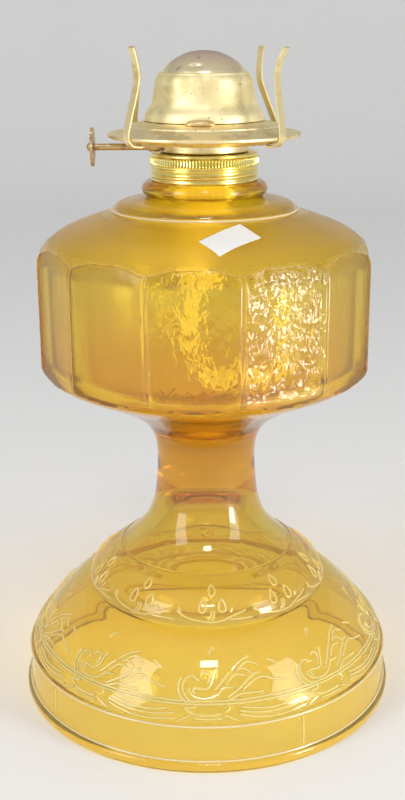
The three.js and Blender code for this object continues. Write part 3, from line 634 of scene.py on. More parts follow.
scroll_repeats = 9
scroll_lines = {
    "outer volute": [(-8.6, 0.0356), (-9.2, 0.0342), (-9.4, 0.0324), (-9.1, 0.0308), (-8.1, 0.0294),
                     (-6.7, 0.0283), (-5.2, 0.0276)],
    "inner volute": [(-2.5, 0.0352), (-3.6, 0.0351), (-4.3, 0.0359), (-5.5, 0.0362), (-6.9, 0.0356),
                     (-7.8, 0.0341), (-8, 0.0325), (-7.6, 0.0311), (-6.7, 0.0298), (-5.4, 0.0286),
                     (-3.7, 0.028)],
    "leaf stem": [(-5.7, 0.0324), (-5.5, 0.0313), (-4.5, 0.03), (-2.8, 0.0294), (-0.5, 0.0292),
                  (1.7, 0.0297), (3.4, 0.0305), (4.6, 0.032), (6.1, 0.0324), (8.2, 0.0323)],
    "inner curl": [(-3.9, 0.0306), (-4.5, 0.0318), (-4, 0.0324), (-2.2, 0.0322), (-0.2, 0.0322),
                   (1, 0.0333), (1.6, 0.035), (2.2, 0.0369), (2.9, 0.0382)],
    "bud": [(0, 0.034), (0.7, 0.035), (0.7, 0.0364), (-0.2, 0.0374), (-1.5, 0.0374), (-2.2, 0.0366)],
    "main vein": [(2.5, 0.0318), (4.2, 0.0337), (5.6, 0.0354), (7.3, 0.0371)],
    "vein tip": [(8.1, 0.0376), (9.6, 0.039), (12.1, 0.0404), (14.9, 0.0413)],
    "first leaf": [(6.2, 0.0335), (7.3, 0.0348), (8.8, 0.0361), (10.5, 0.0362), (12.2, 0.0358)],
    "second leaf": [(10.1, 0.0375), (11.8, 0.0388), (13.6, 0.0397), (15.5, 0.0394), (17.6, 0.0383)],
    "leaf fold": [(9.7, 0.0374), (11.3, 0.0379), (12.9, 0.0377), (14.3, 0.0367), (15.1, 0.0358),
                  (17.1, 0.0364)],
    "third leaf": [(6.5, 0.0295), (8.4, 0.0307), (10.8, 0.0323), (12.8, 0.034), (14.9, 0.0355),
                   (17.1, 0.036)],
    "long leaf": [(11.3, 0.0313), (13.4, 0.0327), (15.4, 0.0339), (17.4, 0.0346), (19.2, 0.0344),
                  (21.4, 0.0334), (26.1, 0.0321)],
    "top leaf": [(21, 0.0397), (22.8, 0.0389), (24.4, 0.038)],
    "low leaf": [(5.7, 0.0283), (7.8, 0.029), (9.8, 0.03), (12.3, 0.0302), (15.2, 0.0301), (17.7, 0.03)],
    "tendril": [(0.4, 0.0423), (0.8, 0.0432), (1.7, 0.0443), (2.5, 0.0435)],
    "crown bowl": [(-3.7, 0.0272), (-4.3, 0.0265), (-6.5, 0.0263), (-5.8, 0.0254), (-3.8, 0.0245),
                   (-1.6, 0.024), (1.5, 0.024), (3.8, 0.0244)],
    "crown right": [(5.7, 0.0279), (6.7, 0.0263), (5.4, 0.0252)],
    "crown foot": [(-3.6, 0.0227), (0.2, 0.0225), (4.4, 0.0227)],
    "near ray": [(4.9, 0.0239), (6.9, 0.0228), (8.8, 0.0215)],
    "far ray": [(-4.9, 0.0239), (-6.9, 0.0228), (-8.8, 0.0215)],
    "top swag": [(10.3, 0.0263), (13.9, 0.0256), (18.6, 0.0249), (23.4, 0.0251), (28, 0.0258)],
    "middle swag": [(9.6, 0.0251), (13.8, 0.0241), (18.4, 0.0235), (22.6, 0.0235), (26.5, 0.0239),
                    (30, 0.0246)],
    "low swag": [(9.5, 0.0239), (13.2, 0.0226), (17.1, 0.0217), (20.7, 0.0214), (24.5, 0.0216),
                 (30.6, 0.0226)],
    "upper ring": [(-20, 0.0286), (0, 0.0284), (20, 0.0286)],
    "lower ring": [(-20, 0.0275), (0, 0.0275), (20, 0.0275)],
}
# Pale yellow of the raised lines, brighter than the glass round them: a painted highlight along the lines
line_highlight_stops = [(0.02, (1, 0.83, 0.3)), (0.03, (1, 0.87, 0.36)), (0.065, (1, 0.8, 0.26))]
line_look = {"Transmission Weight": 0.4, "IOR": glass_ior, "Roughness": 0.1}
moulded_line_highlight, line_tree, line_shader = new_material("moulded_line_highlight", line_look)
fill(line_tree, line_shader, {"Base Color": by_height(line_tree, line_highlight_stops)})
scrolls = moulded("moulded_scrolls", scroll_lines, moulded_line_highlight, scroll_repeats)
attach(scrolls, "glass_body")

# Drops
# Raised lines on the small dome, part of the pressing: ten pairs of drops with a tear above them, over
# bare twigs.
drop_repeats = 10
drop_turn = 2.3
drop_lines = {
    "left drop": [(-4.4, 0.0588), (-5.6, 0.0572), (-6.2, 0.0556), (-5.4, 0.0545), (-3.6, 0.0545),
                  (-2.9, 0.056), (-3.5, 0.0578), (-4.4, 0.0588)],
    "right drop": [(4.8, 0.0586), (3.6, 0.0572), (3.2, 0.0556), (3.9, 0.0546), (5.8, 0.0546), (6.6, 0.0558),
                   (6, 0.0576), (4.8, 0.0586)],
    "tear": [(0, 0.0626), (-1.5, 0.0612), (-1.2, 0.0598), (0, 0.0593), (1.4, 0.0598), (1.8, 0.061),
             (0, 0.0626)],
    "near stalk": [(-0.3, 0.055), (-0.4, 0.053), (-1.8, 0.0513)],
    "far stalk": [(1, 0.0549), (0.8, 0.0531), (-0.4, 0.0514)],
    "left twig": [(-16.5, 0.0545), (-12.3, 0.0525), (-7.6, 0.0515), (-3, 0.0508), (1.6, 0.0507),
                  (5, 0.0512)],
    "left shoot": [(-14.6, 0.0535), (-15.4, 0.0548), (-15.6, 0.0558)],
    "right twig": [(4.4, 0.051), (9.2, 0.0527), (13.2, 0.0536), (16, 0.0544)],
    "low twig": [(7.6, 0.0515), (12.4, 0.0514), (18.6, 0.0513)],
    "right shoot": [(8.6, 0.0542), (9.2, 0.055), (9.6, 0.0557)],
}
drops = moulded("moulded_drops", drop_lines, moulded_line_highlight, drop_repeats, drop_turn)
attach(drops, "glass_body")

# Mould seams
# Two fine upright lines on the foot's band, part of the pressing. They are left where the parts of the
# mould met.
seam_lines = {
    "left seam": [(-53.5, 0.0065), (-53.4, 0.0125), (-53.5, 0.0185)],
    "right seam": [(29, 0.0065), (29.1, 0.0125), (29, 0.0185)],
}
# The seams get the same pale painted highlight colour
seams = moulded("mould_seams", seam_lines, moulded_line_highlight)
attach(seams, "glass_body")

# Edge beads
# Thin rounded edges of the pressing along the foot's rim, the ledge above its band and the shoulder's
# step. Their pale colour is a painted highlight, so that they show as pale lines.
bead_heights = {"rim bead": 0.0048, "ledge bead": 0.0199, "step bead": 0.2102}
bead_steps = 96
# Pale colour of the beads: a painted highlight along the edges
bead_highlight_look = {
    "Base Color": (1, 0.87, 0.52, 1), "Transmission Weight": 0.35, "IOR": glass_ior, "Roughness": 0.12,
}
painted_highlight_bead = new_material("painted_highlight_bead", bead_highlight_look)[0]
edge_lines = {
    name: [(360 * step / bead_steps, height) for step in range(bead_steps)]
    for name, height in bead_heights.items()
}
beads = moulded("edge_beads", edge_lines, painted_highlight_bead)
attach(beads, "glass_body")

# Price label
# A small bare paper sticker with a faint grain. It was pressed askew on the shoulder by hand, and is
# curved to the glass.
label_middle = (0.0092, -0.0484)
label_turn = math.radians(41.9)
label_length = 0.0207
label_width = 0.0112
label_lift = 0.00012
label_thickness = 0.00016
across_steps = 20
along_steps = 10
paper_fibres = {"Scale": 900, "Detail": 4}
paper_stops = [(0, (0.85, 0.845, 0.82)), (1, (0.91, 0.91, 0.9))]

label_paper, paper_tree, paper_shader = new_material("label_paper", {"Roughness": 0.6})
fibres = noise(paper_tree, place_on_piece(paper_tree), paper_fibres)
fill(paper_tree, paper_shader, {"Base Color": ramp(paper_tree, fibres, paper_stops)})

label_points = []
for layer in (label_lift, label_lift + label_thickness):
    for j in range(along_steps + 1):
        for i in range(across_steps + 1):
            u = (i / across_steps - 0.5) * label_length
            v = (j / along_steps - 0.5) * label_width
            x = label_middle[0] + u * math.cos(label_turn) - v * math.sin(label_turn)
            y = label_middle[1] + u * math.sin(label_turn) + v * math.cos(label_turn)
            reach = math.hypot(x, y)
            level = next(
                z0 + (reach - r0) / (r1 - r0) * (z1 - z0)
                for (r0, z0), (r1, z1) in zip(shoulder, shoulder[1:])
                if r1 <= reach <= r0
            )
            label_points.append((x, y, level + layer))
row = across_steps + 1
layer_size = row * (along_steps + 1)
label_faces = []
for j in range(along_steps):
    for i in range(across_steps):
        corner = j * row + i
        below = (corner, corner + row, corner + row + 1, corner + 1)
        label_faces += [below, tuple(index + layer_size for index in reversed(below))]
rim = [
    *range(across_steps),
    *(across_steps + j * row for j in range(along_steps)),
    *(along_steps * row + i for i in range(across_steps, 0, -1)),
    *(j * row for j in range(along_steps, 0, -1)),
]
for start, end in zip(rim, rim[1:] + rim[:1]):
    label_faces.append((start, end, end + layer_size, start + layer_size))
label = new_piece("bare_price_label", label_points, label_faces, label_paper)
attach(label, "glass_body")

# Screw collar
# Spun brass ring that screws over the glass finish; its band is knurled, and the skirt is rolled into the
# glass thread. A sleeve inside the mouth takes the burner. The lacquer has kept it bright.
patch_look = {"Detail": 5, "Roughness": 0.62}
speck_look = {"Detail": 3, "Roughness": 0.5}
patch_levels = (0.72, 0.86)  # where in the noise a patch starts and is whole, lowered by the amount of it
speck_levels = (0.78, 0.84)
specks_a_patch = 9
tarnish, old, aged = new_group(
    "tarnish",
    "ShaderNodeTree",
    {
        "Vector": "Vector", "Clean": "Color", "Tarnished": "Color", "Speck": "Color",
        "Patch Size": "Float", "Patches": "Float", "Specks": "Float",
    },
    {"Color": "Color", "Wear": "Float", "Height": "Float"},
)


def spread(pattern, levels, amount):
    # Turns the noise into spots with soft edges
    low, high = (maths(tarnish, "SUBTRACT", level, amount) for level in levels)
    inputs = {"Value": pattern, "From Min": low, "From Max": high}
    return put(tarnish, "ShaderNodeMapRange", inputs, interpolation_type="SMOOTHSTEP")[0]


clouds = noise(tarnish, old["Vector"], {"Scale": old["Patch Size"], **patch_look})
speck_size = maths(tarnish, "MULTIPLY", old["Patch Size"], specks_a_patch)
grain = noise(tarnish, old["Vector"], {"Scale": speck_size, **speck_look})
patches = spread(clouds, patch_levels, old["Patches"])
specks = spread(grain, speck_levels, old["Specks"])
patched = mixed_colours(tarnish, patches, old["Clean"], old["Tarnished"])
speckled = mixed_colours(tarnish, specks, patched, old["Speck"])
fill(tarnish, aged, {"Color": speckled, "Wear": maths(tarnish, "MAXIMUM", patches, specks), "Height": clouds})


pit_depth = 0.0004
pit_strength = 0.35


def old_brass(name, clean, tarnished, speck, patch_size, patches, specks, roughness, pits=pit_depth):
    # Clean is a colour, or colours by height
    material, tree, shader = new_material(name, {"Metallic": 1})
    inputs = {
        "Vector": place_on_piece(tree),
        "Clean": by_height(tree, clean) if isinstance(clean, list) else (*clean, 1),
        "Tarnished": (*tarnished, 1),
        "Speck": (*speck, 1),
        "Patch Size": patch_size,
        "Patches": patches,
        "Specks": specks,
    }
    group = tree.nodes.new("ShaderNodeGroup")
    group.node_tree = tarnish
    fill(tree, group, inputs)
    wear = {"Value": group.outputs["Wear"], "To Min": roughness[0], "To Max": roughness[1]}
    rough = put(tree, "ShaderNodeMapRange", wear)[0]
    fill(tree, shader, {"Base Color": group.outputs["Color"], "Roughness": rough})
    if pits:
        fill(tree, shader, {"Normal": bumped(tree, group.outputs["Height"], pit_strength, pits)})
    return material


most_of_a_side = 0.45  # a rounded corner takes up no more of either side


def softened(corners, reach, steps=4):
    # The same line with its corners rounded off
    line = [corners[0]]
    for before, corner, after in zip(corners, corners[1:], corners[2:]):
        ends = []
        for other in (before, after):
            length = math.dist(corner, other)
            share = min(reach / length, most_of_a_side)
            ends.append(tuple(c + share * (o - c) for c, o in zip(corner, other)))
        for step in range(steps + 1):
            way = step / steps
            line.append(
                tuple(
                    (1 - way) ** 2 * a + 2 * way * (1 - way) * b + way**2 * c
                    for a, b, c in zip(ends[0], corner, ends[1])
                )
            )
    return [*line, corners[-1]]


collar_low, collar_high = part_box("screw_collar")
collar_bottom = collar_low.z
collar_top = collar_high.z
collar_skirt = 0.02135
collar_inner = 0.0209
collar_roof = 0.0212
collar_band = 0.02185
collar_band_bottom = 0.2282
collar_band_top = 0.2311
skirt_bead = 0.0002
skirt_rows = (0.2228, 0.2277)
band_foot = (0.0003, 0.228)
band_slope = (0.0001, 0.2312, 0.2316)
crown_radius = 0.0185
sleeve_inner = 0.0162
sleeve_outer = 0.0168
sleeve_bottom = 0.2254
collar_sheet = 0.0006
collar_softness = 0.0004
sleeve_softness = 0.0006
knurl_count = 107
knurl_depth = 0.0008
knurl_margin = 0.0001
knurl_runout = 0.0006
columns_a_tooth = 6
inner_columns = 192
collar_crease = math.radians(50)
plain_rows = 6  # rows above the band that need no columns for its teeth
thread_pitch = 0.0027
thread_depth = 0.0007
thread_zone = (0.2224, 0.2278)
thread_runout = 0.0008
ridge_power = 1.6
ridge_sink = 0.35
knurl_groove_power = 2
thread_groove_power = 3
# Brown painted shade at the bottom of the knurling's and the thread's grooves, and how dark it gets
painted_groove_shade = (0.4, 0.24, 0.03, 1)
groove_shade_strength = 0.45


def knurl_tooth(angle):
    return 0.5 + 0.5 * math.cos(knurl_count * angle)


def thread_phase(angle, height):
    # How far in the thread's turn this is, and how much of its depth is left near its ends
    low, high = thread_zone
    fade = ramp_step(height, low, thread_runout) * ramp_step(high - height, 0, thread_runout)
    return 2 * math.pi * ((height - thread_pitch * angle / (2 * math.pi)) / thread_pitch), fade


def rolled_and_knurled(angle, radius, height):
    if radius < collar_inner + collar_sheet / 2:
        return radius, height
    if collar_band_bottom - knurl_margin < height < collar_band_top + knurl_margin:
        ends = ramp_step(height, collar_band_bottom - knurl_margin, knurl_runout)
        ends *= ramp_step(collar_band_top + knurl_margin - height, 0, knurl_runout)
        return radius - knurl_depth * ends * knurl_tooth(angle), height
    phase, fade = thread_phase(angle, height)
    ridge = (0.5 + 0.5 * math.cos(phase)) ** ridge_power
    return radius + thread_depth * fade * (ridge - ridge_sink), height


def groove_shade_share(angle, radius, height):
    # Painted shade: highest at the bottom of the grooves of the knurling and the thread
    if radius < collar_inner:
        return 0
    if collar_band_bottom < height < collar_band_top:
        return groove_shade_strength * knurl_tooth(angle) ** knurl_groove_power
    phase, fade = thread_phase(angle, height)
    return groove_shade_strength * (fade * (0.5 - 0.5 * math.cos(phase)) ** thread_groove_power)


collar_outside = [
    *run((collar_inner, collar_bottom), (collar_skirt, collar_bottom), steps=2),
    (collar_skirt + skirt_bead, collar_bottom + skirt_bead),
    (collar_skirt + skirt_bead, collar_bottom + 2.5 * skirt_bead),
    (collar_skirt, collar_bottom + 4 * skirt_bead),
    *run((collar_skirt, skirt_rows[0]), (collar_skirt, skirt_rows[1]), steps=26),
    (collar_skirt + band_foot[0], band_foot[1]),
    *run((collar_band, collar_band_bottom), (collar_band, collar_band_top), steps=9),
    *softened(
        [
            (collar_band - band_slope[0], band_slope[1]),
            (collar_skirt, band_slope[2]),
            (collar_roof, collar_top),
            (crown_radius, collar_top),
        ],
        collar_softness,
    ),
]
collar_inside = [
    *softened(
        [(crown_radius, collar_top), (sleeve_inner, collar_top), (sleeve_inner, sleeve_bottom)],
        sleeve_softness,
    ),
    (sleeve_outer, sleeve_bottom),
    (sleeve_outer, collar_top - collar_sheet),
    (collar_inner, collar_top - collar_sheet),
]
collar_columns = [
    *[knurl_count * columns_a_tooth] * (len(collar_outside) - plain_rows),
    *[inner_columns] * (len(collar_inside) + plain_rows),
]
bright_brass = old_brass(
    "bright_brass",
    clean=(1, 0.9, 0.34), tarnished=(0.95, 0.75, 0.16), speck=(0.5, 0.32, 0.06),
    patch_size=130, patches=0.14, specks=0.05, roughness=(0.24, 0.4),
)
collar_tree = bright_brass.node_tree
collar_shader = collar_tree.nodes["Principled BSDF"]
smooth_colour = collar_shader.inputs["Base Color"].links[0].from_socket
# Painted shade: the collar's colour goes brown towards the bottom of its grooves
groove_shaded_colour = mixed_colours(collar_tree, attribute(collar_tree, "groove"), smooth_colour, painted_groove_shade)
fill(collar_tree, collar_shader, {"Base Color": groove_shaded_colour})
collar = new_piece(
    "threaded_collar",
    *turned([*collar_outside, *collar_inside], collar_columns, rolled_and_knurled, closed=True),
    bright_brass,
    collar_crease,
)
mask(collar, "groove", groove_shade_share)
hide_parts("screw_collar")
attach(collar, "collar")

# Burner cup
# Drawn brass cup: its threaded lower part goes down inside the collar, and the plain wall stands on it.
# The floor is pierced for the wick tube and a vent, and the wall for the raiser's shaft.


def drilled(piece, cutters):
    # Cuts closed solids out of a piece and leaves a plain mesh
    for cutter in cutters:
        cut = piece.modifiers.new("cut", "BOOLEAN")
        cut.operation = "DIFFERENCE"
        cut.solver = "EXACT"
        cut.object = cutter
    mesh = modified_mesh(piece)
    piece.modifiers.clear()
    piece.data = mesh
    mesh.set_sharp_from_angle(angle=plain_crease)
    for cutter in cutters:
        bpy.data.objects.remove(cutter)


def swept(sections, turned_out=False):
    # Vertices and faces of a solid through closed sections, with its ends closed
    count = len(sections[0])
    rings = [range(start, start + count) for start in range(0, count * len(sections), count)]
    faces = [face for lower, upper in zip(rings, rings[1:]) for face in ring_faces(lower, upper)]
    faces += [tuple(reversed(rings[0])), tuple(rings[-1])]
    if turned_out:
        faces = [tuple(reversed(face)) for face in faces]
    return [point for section in sections for point in section], faces


def rod(name, radius, start, end, sides=24):
    # Closed round rod between two places, along X or Z
    sections = []
    for x, y, z in (start, end):
        turns = [2 * math.pi * side / sides for side in range(sides)]
        circle = [(radius * math.cos(angle), radius * math.sin(angle)) for angle in turns]
        sections.append([(x, y + u, z + v) if start[2] == end[2] else (x + u, y + v, z) for u, v in circle])
    return new_piece(name, *swept(sections), None)


def slot_cutter(name, length, width, bottom, top, sides=20):
    # Closed solid with a round-ended slot for its outline, its length along X
    outline = []
    for side in range(sides + 1):
        angle = -math.pi / 2 + math.pi * side / sides
        outline.append(((length - width) / 2 + width / 2 * math.cos(angle), width / 2 * math.sin(angle)))
    outline += [(-x, -y) for x, y in outline]
    return new_piece(name, *swept([[(x, y, z) for x, y in outline] for z in (bottom, top)]), None)


cup_low, cup_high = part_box("burner_cup")
cup_wall = cup_high.x + 0.0004
cup_top = cup_high.z
cup_floor = cup_low.z
cup_shoulder = 0.2329
cup_thread = 0.0159
cup_chamfer = (0.001, 0.0006)
cup_flat = 0.012
cup_lip = 0.0005
cup_sheet = 0.0006
cup_softness = (0.0006, 0.0004)
cup_columns = 160
tube_length = 0.0268
tube_depth = 0.0044
seat_gap = 0.0003
vent_y = (cup_thread - cup_sheet + tube_depth / 2) / 2
vent_radius = 0.0022
shaft_place = (-0.0061, 0.2351)
shaft_bore = 0.00145
shaft_hole_end = -0.01
cut_overrun = 0.003
cup_outside = [
    (cup_thread - cup_chamfer[0], cup_floor),
    (cup_thread, cup_floor + cup_chamfer[1]),
    (cup_thread, cup_shoulder),
    (cup_wall, cup_shoulder),
    (cup_wall, cup_top),
]
cup_inside = [
    (cup_wall - cup_sheet, cup_top - cup_lip),
    (cup_wall - cup_sheet, cup_shoulder + cup_sheet),
    (cup_thread - cup_sheet, cup_shoulder + cup_sheet),
    (cup_thread - cup_sheet, cup_floor + cup_sheet),
    (cup_flat, cup_floor + cup_sheet),
]
cup_line = [
    (0, cup_floor),
    *softened(cup_outside, cup_softness[0]),
    (cup_wall - cup_sheet, cup_top),
    *softened(cup_inside, cup_softness[1]),
    (0, cup_floor + cup_sheet),
]
golden_brass = old_brass(
    "golden_brass",
    clean=(0.96, 0.81, 0.45), tarnished=(0.74, 0.58, 0.28), speck=(0.36, 0.25, 0.1),
    patch_size=110, patches=0.2, specks=0.07, roughness=(0.34, 0.5),
)
cup = new_piece("drawn_cup", *turned(cup_line, cup_columns), golden_brass)
tube_hole = slot_cutter(
    "tube_hole",
    tube_length + 2 * seat_gap,
    tube_depth + 2 * seat_gap,
    cup_floor - cut_overrun,
    cup_floor + cup_sheet + cut_overrun,
)
vent = rod("vent", vent_radius, (0, vent_y, cup_floor - cut_overrun), (0, vent_y, cup_floor + cut_overrun))
hole_ends = (-cup_wall - cut_overrun, *shaft_place), (shaft_hole_end, *shaft_place)
shaft_hole = rod("shaft_hole", shaft_bore, *hole_ends)
drilled(cup, [tube_hole, vent, shaft_hole])
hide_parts("burner_cup")
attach(cup, "burner")

# Gallery deck
# Pressed brass shell, sloped up from a rolled rim that is crimped over the dish below it. The chimney and
# the cone stand on it. The lacquer has gone dull and is specked.


def sheet_section(line, thickness):
    # Closed section of sheet metal that lies to the left of its outer line
    inner = []
    for index, (r, z) in enumerate(line):
        before = line[max(index - 1, 0)]
        after = line[min(index + 1, len(line) - 1)]
        along_r, along_z = after[0] - before[0], after[1] - before[1]
        length = math.hypot(along_r, along_z)
        inner.append((r - thickness * along_z / length, z + thickness * along_r / length))
    return [*line, *reversed(inner)]


deck_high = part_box("gallery_deck")[1]
deck_rim = deck_high.x
deck_rim_height = 0.2393
deck_top = deck_high.z
chimney_seat = (0.0369, 0.035)
chimney_seat_height = 0.24005
deck_crease = (0.0297, 0.2431)
cone_seat = (0.0243, 0.0219)
deck_sheet = 0.0005
deck_softness = 0.0006
deck_columns = 224
sheet_crease = math.radians(60)
rim_roll = 0.0008
roll_shares = [(-2, -1.2), (-0.6, -1.2), (0.5, -0.4), (0.5, 0.9), (-0.6, 1.3)]
crease_step = 0.0003
deck_corners = [
    *[(deck_rim + across * rim_roll, deck_rim_height + up * rim_roll) for across, up in roll_shares],
    (chimney_seat[0], chimney_seat_height),
    (chimney_seat[1], chimney_seat_height),
    (deck_crease[0] + crease_step, deck_crease[1] - 2 * crease_step),
    (deck_crease[0] + crease_step, deck_crease[1] + crease_step / 2),
    (cone_seat[0], deck_top),
    (cone_seat[1], deck_top),
]
straw_brass = old_brass(
    "straw_brass",
    clean=(0.97, 0.82, 0.46), tarnished=(0.74, 0.6, 0.32), speck=(0.26, 0.2, 0.1),
    patch_size=85, patches=0.22, specks=0.1, roughness=(0.4, 0.56),
)
deck_line = softened(deck_corners, deck_softness, steps=5)
deck = new_piece(
    "pressed_deck",
    *turned(sheet_section(deck_line, deck_sheet), deck_columns, closed=True),
    straw_brass,
    sheet_crease,
)
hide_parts("gallery_deck")
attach(deck, "burner")

# Gallery underside
# Shallow pressed brass dish, soldered to the cup and crimped to the deck at its rim, with a ring of air
# holes that feed the flame.
dish_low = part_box("gallery_underside")[0]
dish_bottom = dish_low.z
dish_rim = 0.0369
dish_rim_height = 0.2388
dish_inner = 0.0179
dish_lift = 0.0016
dish_columns = 192
low_share = 0.663
dish_low_radius = dish_inner + low_share * (dish_rim - dish_inner)
inward_share, inward_lift_share = 0.65, 0.12
outward_share, outward_lift_share = 0.4, 0.22
dish_corners = [
    (dish_inner, dish_bottom + dish_lift),
    (dish_inner + inward_share * (dish_low_radius - dish_inner), dish_bottom + inward_lift_share * dish_lift),
    (dish_low_radius, dish_bottom),
    (
        dish_low_radius + outward_share * (dish_rim - dish_low_radius),
        dish_bottom + outward_lift_share * (dish_rim_height - dish_bottom),
    ),
    (dish_rim, dish_rim_height),
]
air_hole_share = 0.53
air_hole_circle = dish_inner + air_hole_share * (dish_low_radius - dish_inner)
air_hole_radius = 0.0018
air_hole_count = 12
dish = new_piece(
    "pressed_dish",
    *turned(sheet_section(smooth_line(dish_corners, steps=20), deck_sheet), dish_columns, closed=True),
    straw_brass,
    sheet_crease,
)
air_holes = []
for hole in range(air_hole_count):
    angle = (hole + 0.5) * 2 * math.pi / air_hole_count
    x, y = air_hole_circle * math.sin(angle), -air_hole_circle * math.cos(angle)
    hole_ends = (x, y, dish_bottom - cut_overrun), (x, y, dish_bottom + dish_lift + cut_overrun)
    air_holes.append(rod("air_hole", air_hole_radius, *hole_ends))
drilled(dish, air_holes)
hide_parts("gallery_underside")
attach(dish, "burner")

# Air screen
# Perforated brass plate inside the cone's foot, which spreads the draught. It is a plain stamping, dull
# with age, and keeps the shape that it comes with.


def dress(node, material):
    for material_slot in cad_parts[node].material_slots:
        material_slot.material = material


dull_inside = old_brass(
    "dull_inside",
    clean=(0.66, 0.52, 0.26), tarnished=(0.45, 0.33, 0.15), speck=(0.2, 0.14, 0.06),
    patch_size=120, patches=0.22, specks=0.1, roughness=(0.36, 0.55),
)
dress("air_screen", dull_inside)

# Wick tube
# Flattened brass tube that guides the wick, soldered in the cup's floor, with four windows for the wheels.
# It is dull with age.
dress("wick_tube", dull_inside)

# Raiser housing
# Folded brass bracket in front of the tube, which carries the raiser's shaft and covers its wheels. It is
# soldered to the tube and dull with age.
dress("raiser_housing", dull_inside)

# Cone
# Spun brass cone that draws the air up to the flame: a rounded foot, a hollow flank and an upright
# shoulder whose lip turns in under the cap. The lacquer is worn to a pale straw with greenish stains.
cone_low, cone_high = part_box("cone")
cone_foot_radius = cone_high.x
cone_foot = cone_low.z
cone_top = cone_high.z
cone_shoulder_radius = 0.0179
cone_lip_radius = 0.0147
cone_edge = 0.0003
flank_drop = 0.0007
cone_softness = 0.0005
cone_sheet = 0.0006
cone_columns = 224
flank_shares = [(0, 0.055), (0.08, 0.17), (0.42, 0.33), (0.56, 0.48), (0.72, 0.79), (0.82, 0.91)]
cone_lip = [
    (cone_shoulder_radius, cone_top - 2 * cone_edge),
    (cone_shoulder_radius - cone_edge, cone_top),
    (cone_lip_radius, cone_top),
]
flank_top = (cone_shoulder_radius, cone_top - flank_drop)
cone_line = [
    *run((cone_foot_radius, cone_foot), flank_top, flank_shares, steps=36),
    *softened(cone_lip, cone_softness),
]
stained_brass = old_brass(
    "stained_brass",
    clean=(1, 0.87, 0.52), tarnished=(0.8, 0.69, 0.38), speck=(0.5, 0.42, 0.24),
    patch_size=60, patches=0.26, specks=0.1, roughness=(0.54, 0.64),
)
cone = new_piece(
    "spun_cone",
    *turned(sheet_section(cone_line, cone_sheet), cone_columns, closed=True),
    stained_brass,
    sheet_crease,
)
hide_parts("cone")
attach(cone, "cone")

# Dome cap
# Domed brass cap with the slot for the flame, seated in the cone's shoulder. The flame has heated it to a
# rosy brown, and it has one dent in front.
dome_low, dome_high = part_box("dome_cap")
dome_radius = dome_high.x
dome_foot = dome_low.z - 0.0003
dome_top = dome_high.z
dome_sheet = 0.0006
dome_columns = 176
flame_slot = (0.028, 0.008)
dent_place = (math.radians(-13.5), 0.2656)
dent_size = (0.0028, 0.0008)
dent_depth = 0.0011
dome_shares = [(0.04, 0.13), (0.14, 0.36), (0.29, 0.61), (0.5, 0.83), (0.75, 0.96)]
heat_stops = [
    (dome_foot, (0.98, 0.86, 0.54)),
    (dome_foot + 0.0026, (0.96, 0.8, 0.52)),
    (dome_foot + 0.006, (0.87, 0.67, 0.5)),
    (dome_top, (0.7, 0.5, 0.42)),
]


def dented(angle, radius, height):
    across = (angle + math.pi) % (2 * math.pi) - math.pi - dent_place[0]
    u = across * radius / dent_size[0]
    v = (height - dent_place[1]) / dent_size[1]
    return radius - dent_depth * math.exp(-u * u - v * v), height


rosy_brass = old_brass(
    "rosy_brass",
    clean=heat_stops, tarnished=(0.55, 0.38, 0.29), speck=(0.3, 0.2, 0.12),
    patch_size=110, patches=0.17, specks=0.07, roughness=(0.3, 0.46), pits=0,
)
dome_outer = run((dome_radius, dome_foot), (0, dome_top), dome_shares, steps=34)
dome_inner = run((dome_radius - dome_sheet, dome_foot), (0, dome_top - dome_sheet), dome_shares, steps=34)
dome = new_piece(
    "heated_cap",
    *turned([*dome_outer, *reversed(dome_inner)], dome_columns, dented, closed=True),
    rosy_brass,
    sheet_crease,
)
drilled(dome, [slot_cutter("flame_slot", *flame_slot, dome_foot, dome_top + cut_overrun, sides=24)])
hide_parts("dome_cap")
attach(dome, "cone")

# Cone catches
# Two pressed brass lugs on the deck, rounded off at their ends. They grip the cone's foot, so that it can
# be pulled off for trimming the wick.
catch_width = 0.0118
catch_azimuths = {"front": math.radians(-3.5), "back": math.radians(176.5)}
catch_outline = [
    (0.0242, 0.2443), (0.0254, 0.2441), (0.0263, 0.2444), (0.0265, 0.2452), (0.0261, 0.246), (0.0252, 0.2465),
    (0.0243, 0.2464), (0.0239, 0.2457), (0.0239, 0.2448),
]
catch_root = catch_outline[0]
catch_columns = 28
catch_reach_share = 0.998
catch_fullness = 3.2
tan_brass = old_brass(
    "tan_brass",
    clean=(0.86, 0.64, 0.34), tarnished=(0.66, 0.46, 0.22), speck=(0.36, 0.24, 0.1),
    patch_size=140, patches=0.22, specks=0.08, roughness=(0.4, 0.56),
)
for side, azimuth in catch_azimuths.items():
    catch_sections = []
    for column in range(catch_columns + 1):
        along = catch_reach_share * (2 * column / catch_columns - 1)
        swell = (1 - abs(along) ** catch_fullness) ** 0.5
        turn = azimuth + along * catch_width / 2 / catch_root[0]
        section = [
            tuple(root + (at - root) * swell for root, at in zip(catch_root, point))
            for point in catch_outline
        ]
        catch_sections.append([(r * math.sin(turn), -r * math.cos(turn), z) for r, z in section])
    catch = new_piece(f"pressed_lug_{side}", *swept(catch_sections, turned_out=True), tan_brass)
    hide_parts(f"cone_catch_{side}")
    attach(catch, "burner")

